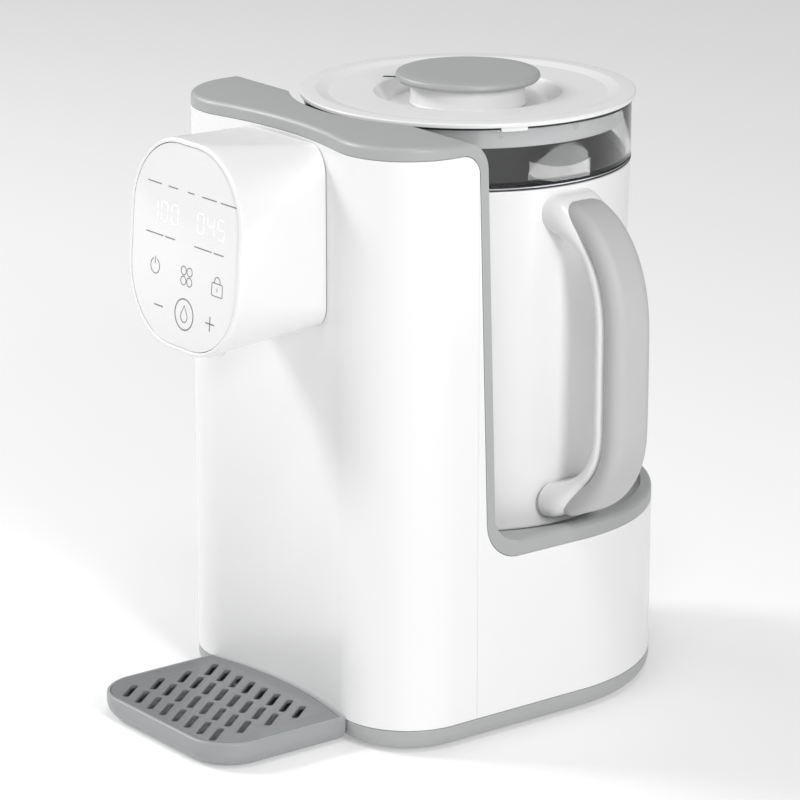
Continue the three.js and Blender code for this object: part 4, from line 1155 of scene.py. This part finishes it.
# Fibreglass board under green solder mask.
green_board = moulded("green_solder_mask", "#2C6A45", 0.3, 3, 0.01)
# Enamelled copper wire, wound in tight layers.
copper_wire = moulded("enamelled_copper_wire", "#A8642E", 0.32, 0.5, 0.1, 0.1, Metallic=0.9)

finishes = {"white_abs": white_abs, "grey_abs": grey_abs, "black_plastic": black_nylon,
            "silicone": silicone, "steel": steel, "cast_aluminium": aluminium,
            "circuit_board": green_board, "copper_winding": copper_wire}
slots_of_nodes = {part["node"]: part["material_slot"] for part in frame["record"]["subparts"]}
for name, node in frame["nodes"].items():
    if slots_of_nodes.get(name) in finishes:
        node.data.materials.clear()
        node.data.materials.append(finishes[slots_of_nodes[name]])

# ------------------------------------------------------------------ stage
# A white board for a floor that glows a little, a pale surround, and four soft lamps: left, right,
# overhead and behind. A thin bright card at the right shows only in reflections and through the glass.

# Matt white board with a barely visible tooth, lit from within so that it stays even to its far end.
board = moulded("matt_white_board", "#DADADA", 0.9, 4, 0.02, 0.004,
                **{"Emission Color": (1, 1, 1, 1), "Emission Strength": 0.28})
bm = bmesh.new()
bmesh.ops.create_grid(bm, x_segments=1, y_segments=1, size=9000)
for vertex in bm.verts:
    vertex.co.z = -0.05
floor = to_piece("floor", bm, board)

surround = bpy.data.worlds.new("pale_surround")
surround.use_nodes = True
sky = surround.node_tree.nodes["Background"].inputs
sky["Color"].default_value = (1, 1, 1, 1)
sky["Strength"].default_value = 0.32
bpy.context.scene.world = surround

MIDDLE = Vector((0, 0, 0.17))                     # what the lamps are aimed at


def away_from_machine(azimuth, elevation):
    """Direction away from the machine, in degrees round from its front and up."""
    a, e = math.radians(azimuth), math.radians(elevation)
    return Vector((math.sin(a) * math.cos(e), -math.cos(a) * math.cos(e), math.sin(e)))


def lamp(name, azimuth, elevation, distance, width, height, power):
    """A soft rectangular lamp, aimed at the middle of the machine; metres and watts."""
    light = bpy.data.lights.new(name, "AREA")
    light.shape = "RECTANGLE"
    light.size = width
    light.size_y = height
    light.energy = power
    piece = bpy.data.objects.new(name, light)
    away = away_from_machine(azimuth, elevation)
    piece.location = MIDDLE + away * distance
    piece.rotation_mode = "QUATERNION"
    piece.rotation_quaternion = away.to_track_quat("Z", "Y")
    bpy.context.scene.collection.objects.link(piece)
    return piece


lamp("left", -50, 35, 2.0, 0.4, 0.5, 17.5)
lamp("right", 76, 24, 2.2, 0.35, 0.7, 21)
lamp("overhead", 55, 63, 2.0, 0.5, 0.5, 9.5)
lamp("behind", 290, 30, 2.2, 1.0, 1.0, 9)
card = lamp("reflection_card", 121.7, -4.2, 0.553, 0.5, 0.032, 0.33)
card.visible_camera = False
card.visible_diffuse = False

CAMERA_AZIMUTH = 52.5
CAMERA_ELEVATION = 16.66
CAMERA_PLACE = (1.504, -1.160, 0.721)
camera = bpy.data.objects.new("camera", bpy.data.cameras.new("camera"))
camera.data.lens = 181
camera.data.sensor_width = 36
camera.data.clip_end = 50
camera.location = CAMERA_PLACE
camera.rotation_mode = "QUATERNION"
camera.rotation_quaternion = away_from_machine(CAMERA_AZIMUTH, CAMERA_ELEVATION).to_track_quat("Z", "Y")
bpy.context.scene.collection.objects.link(camera)
bpy.context.scene.camera = camera
bpy.context.scene.view_settings.view_transform = "Standard"
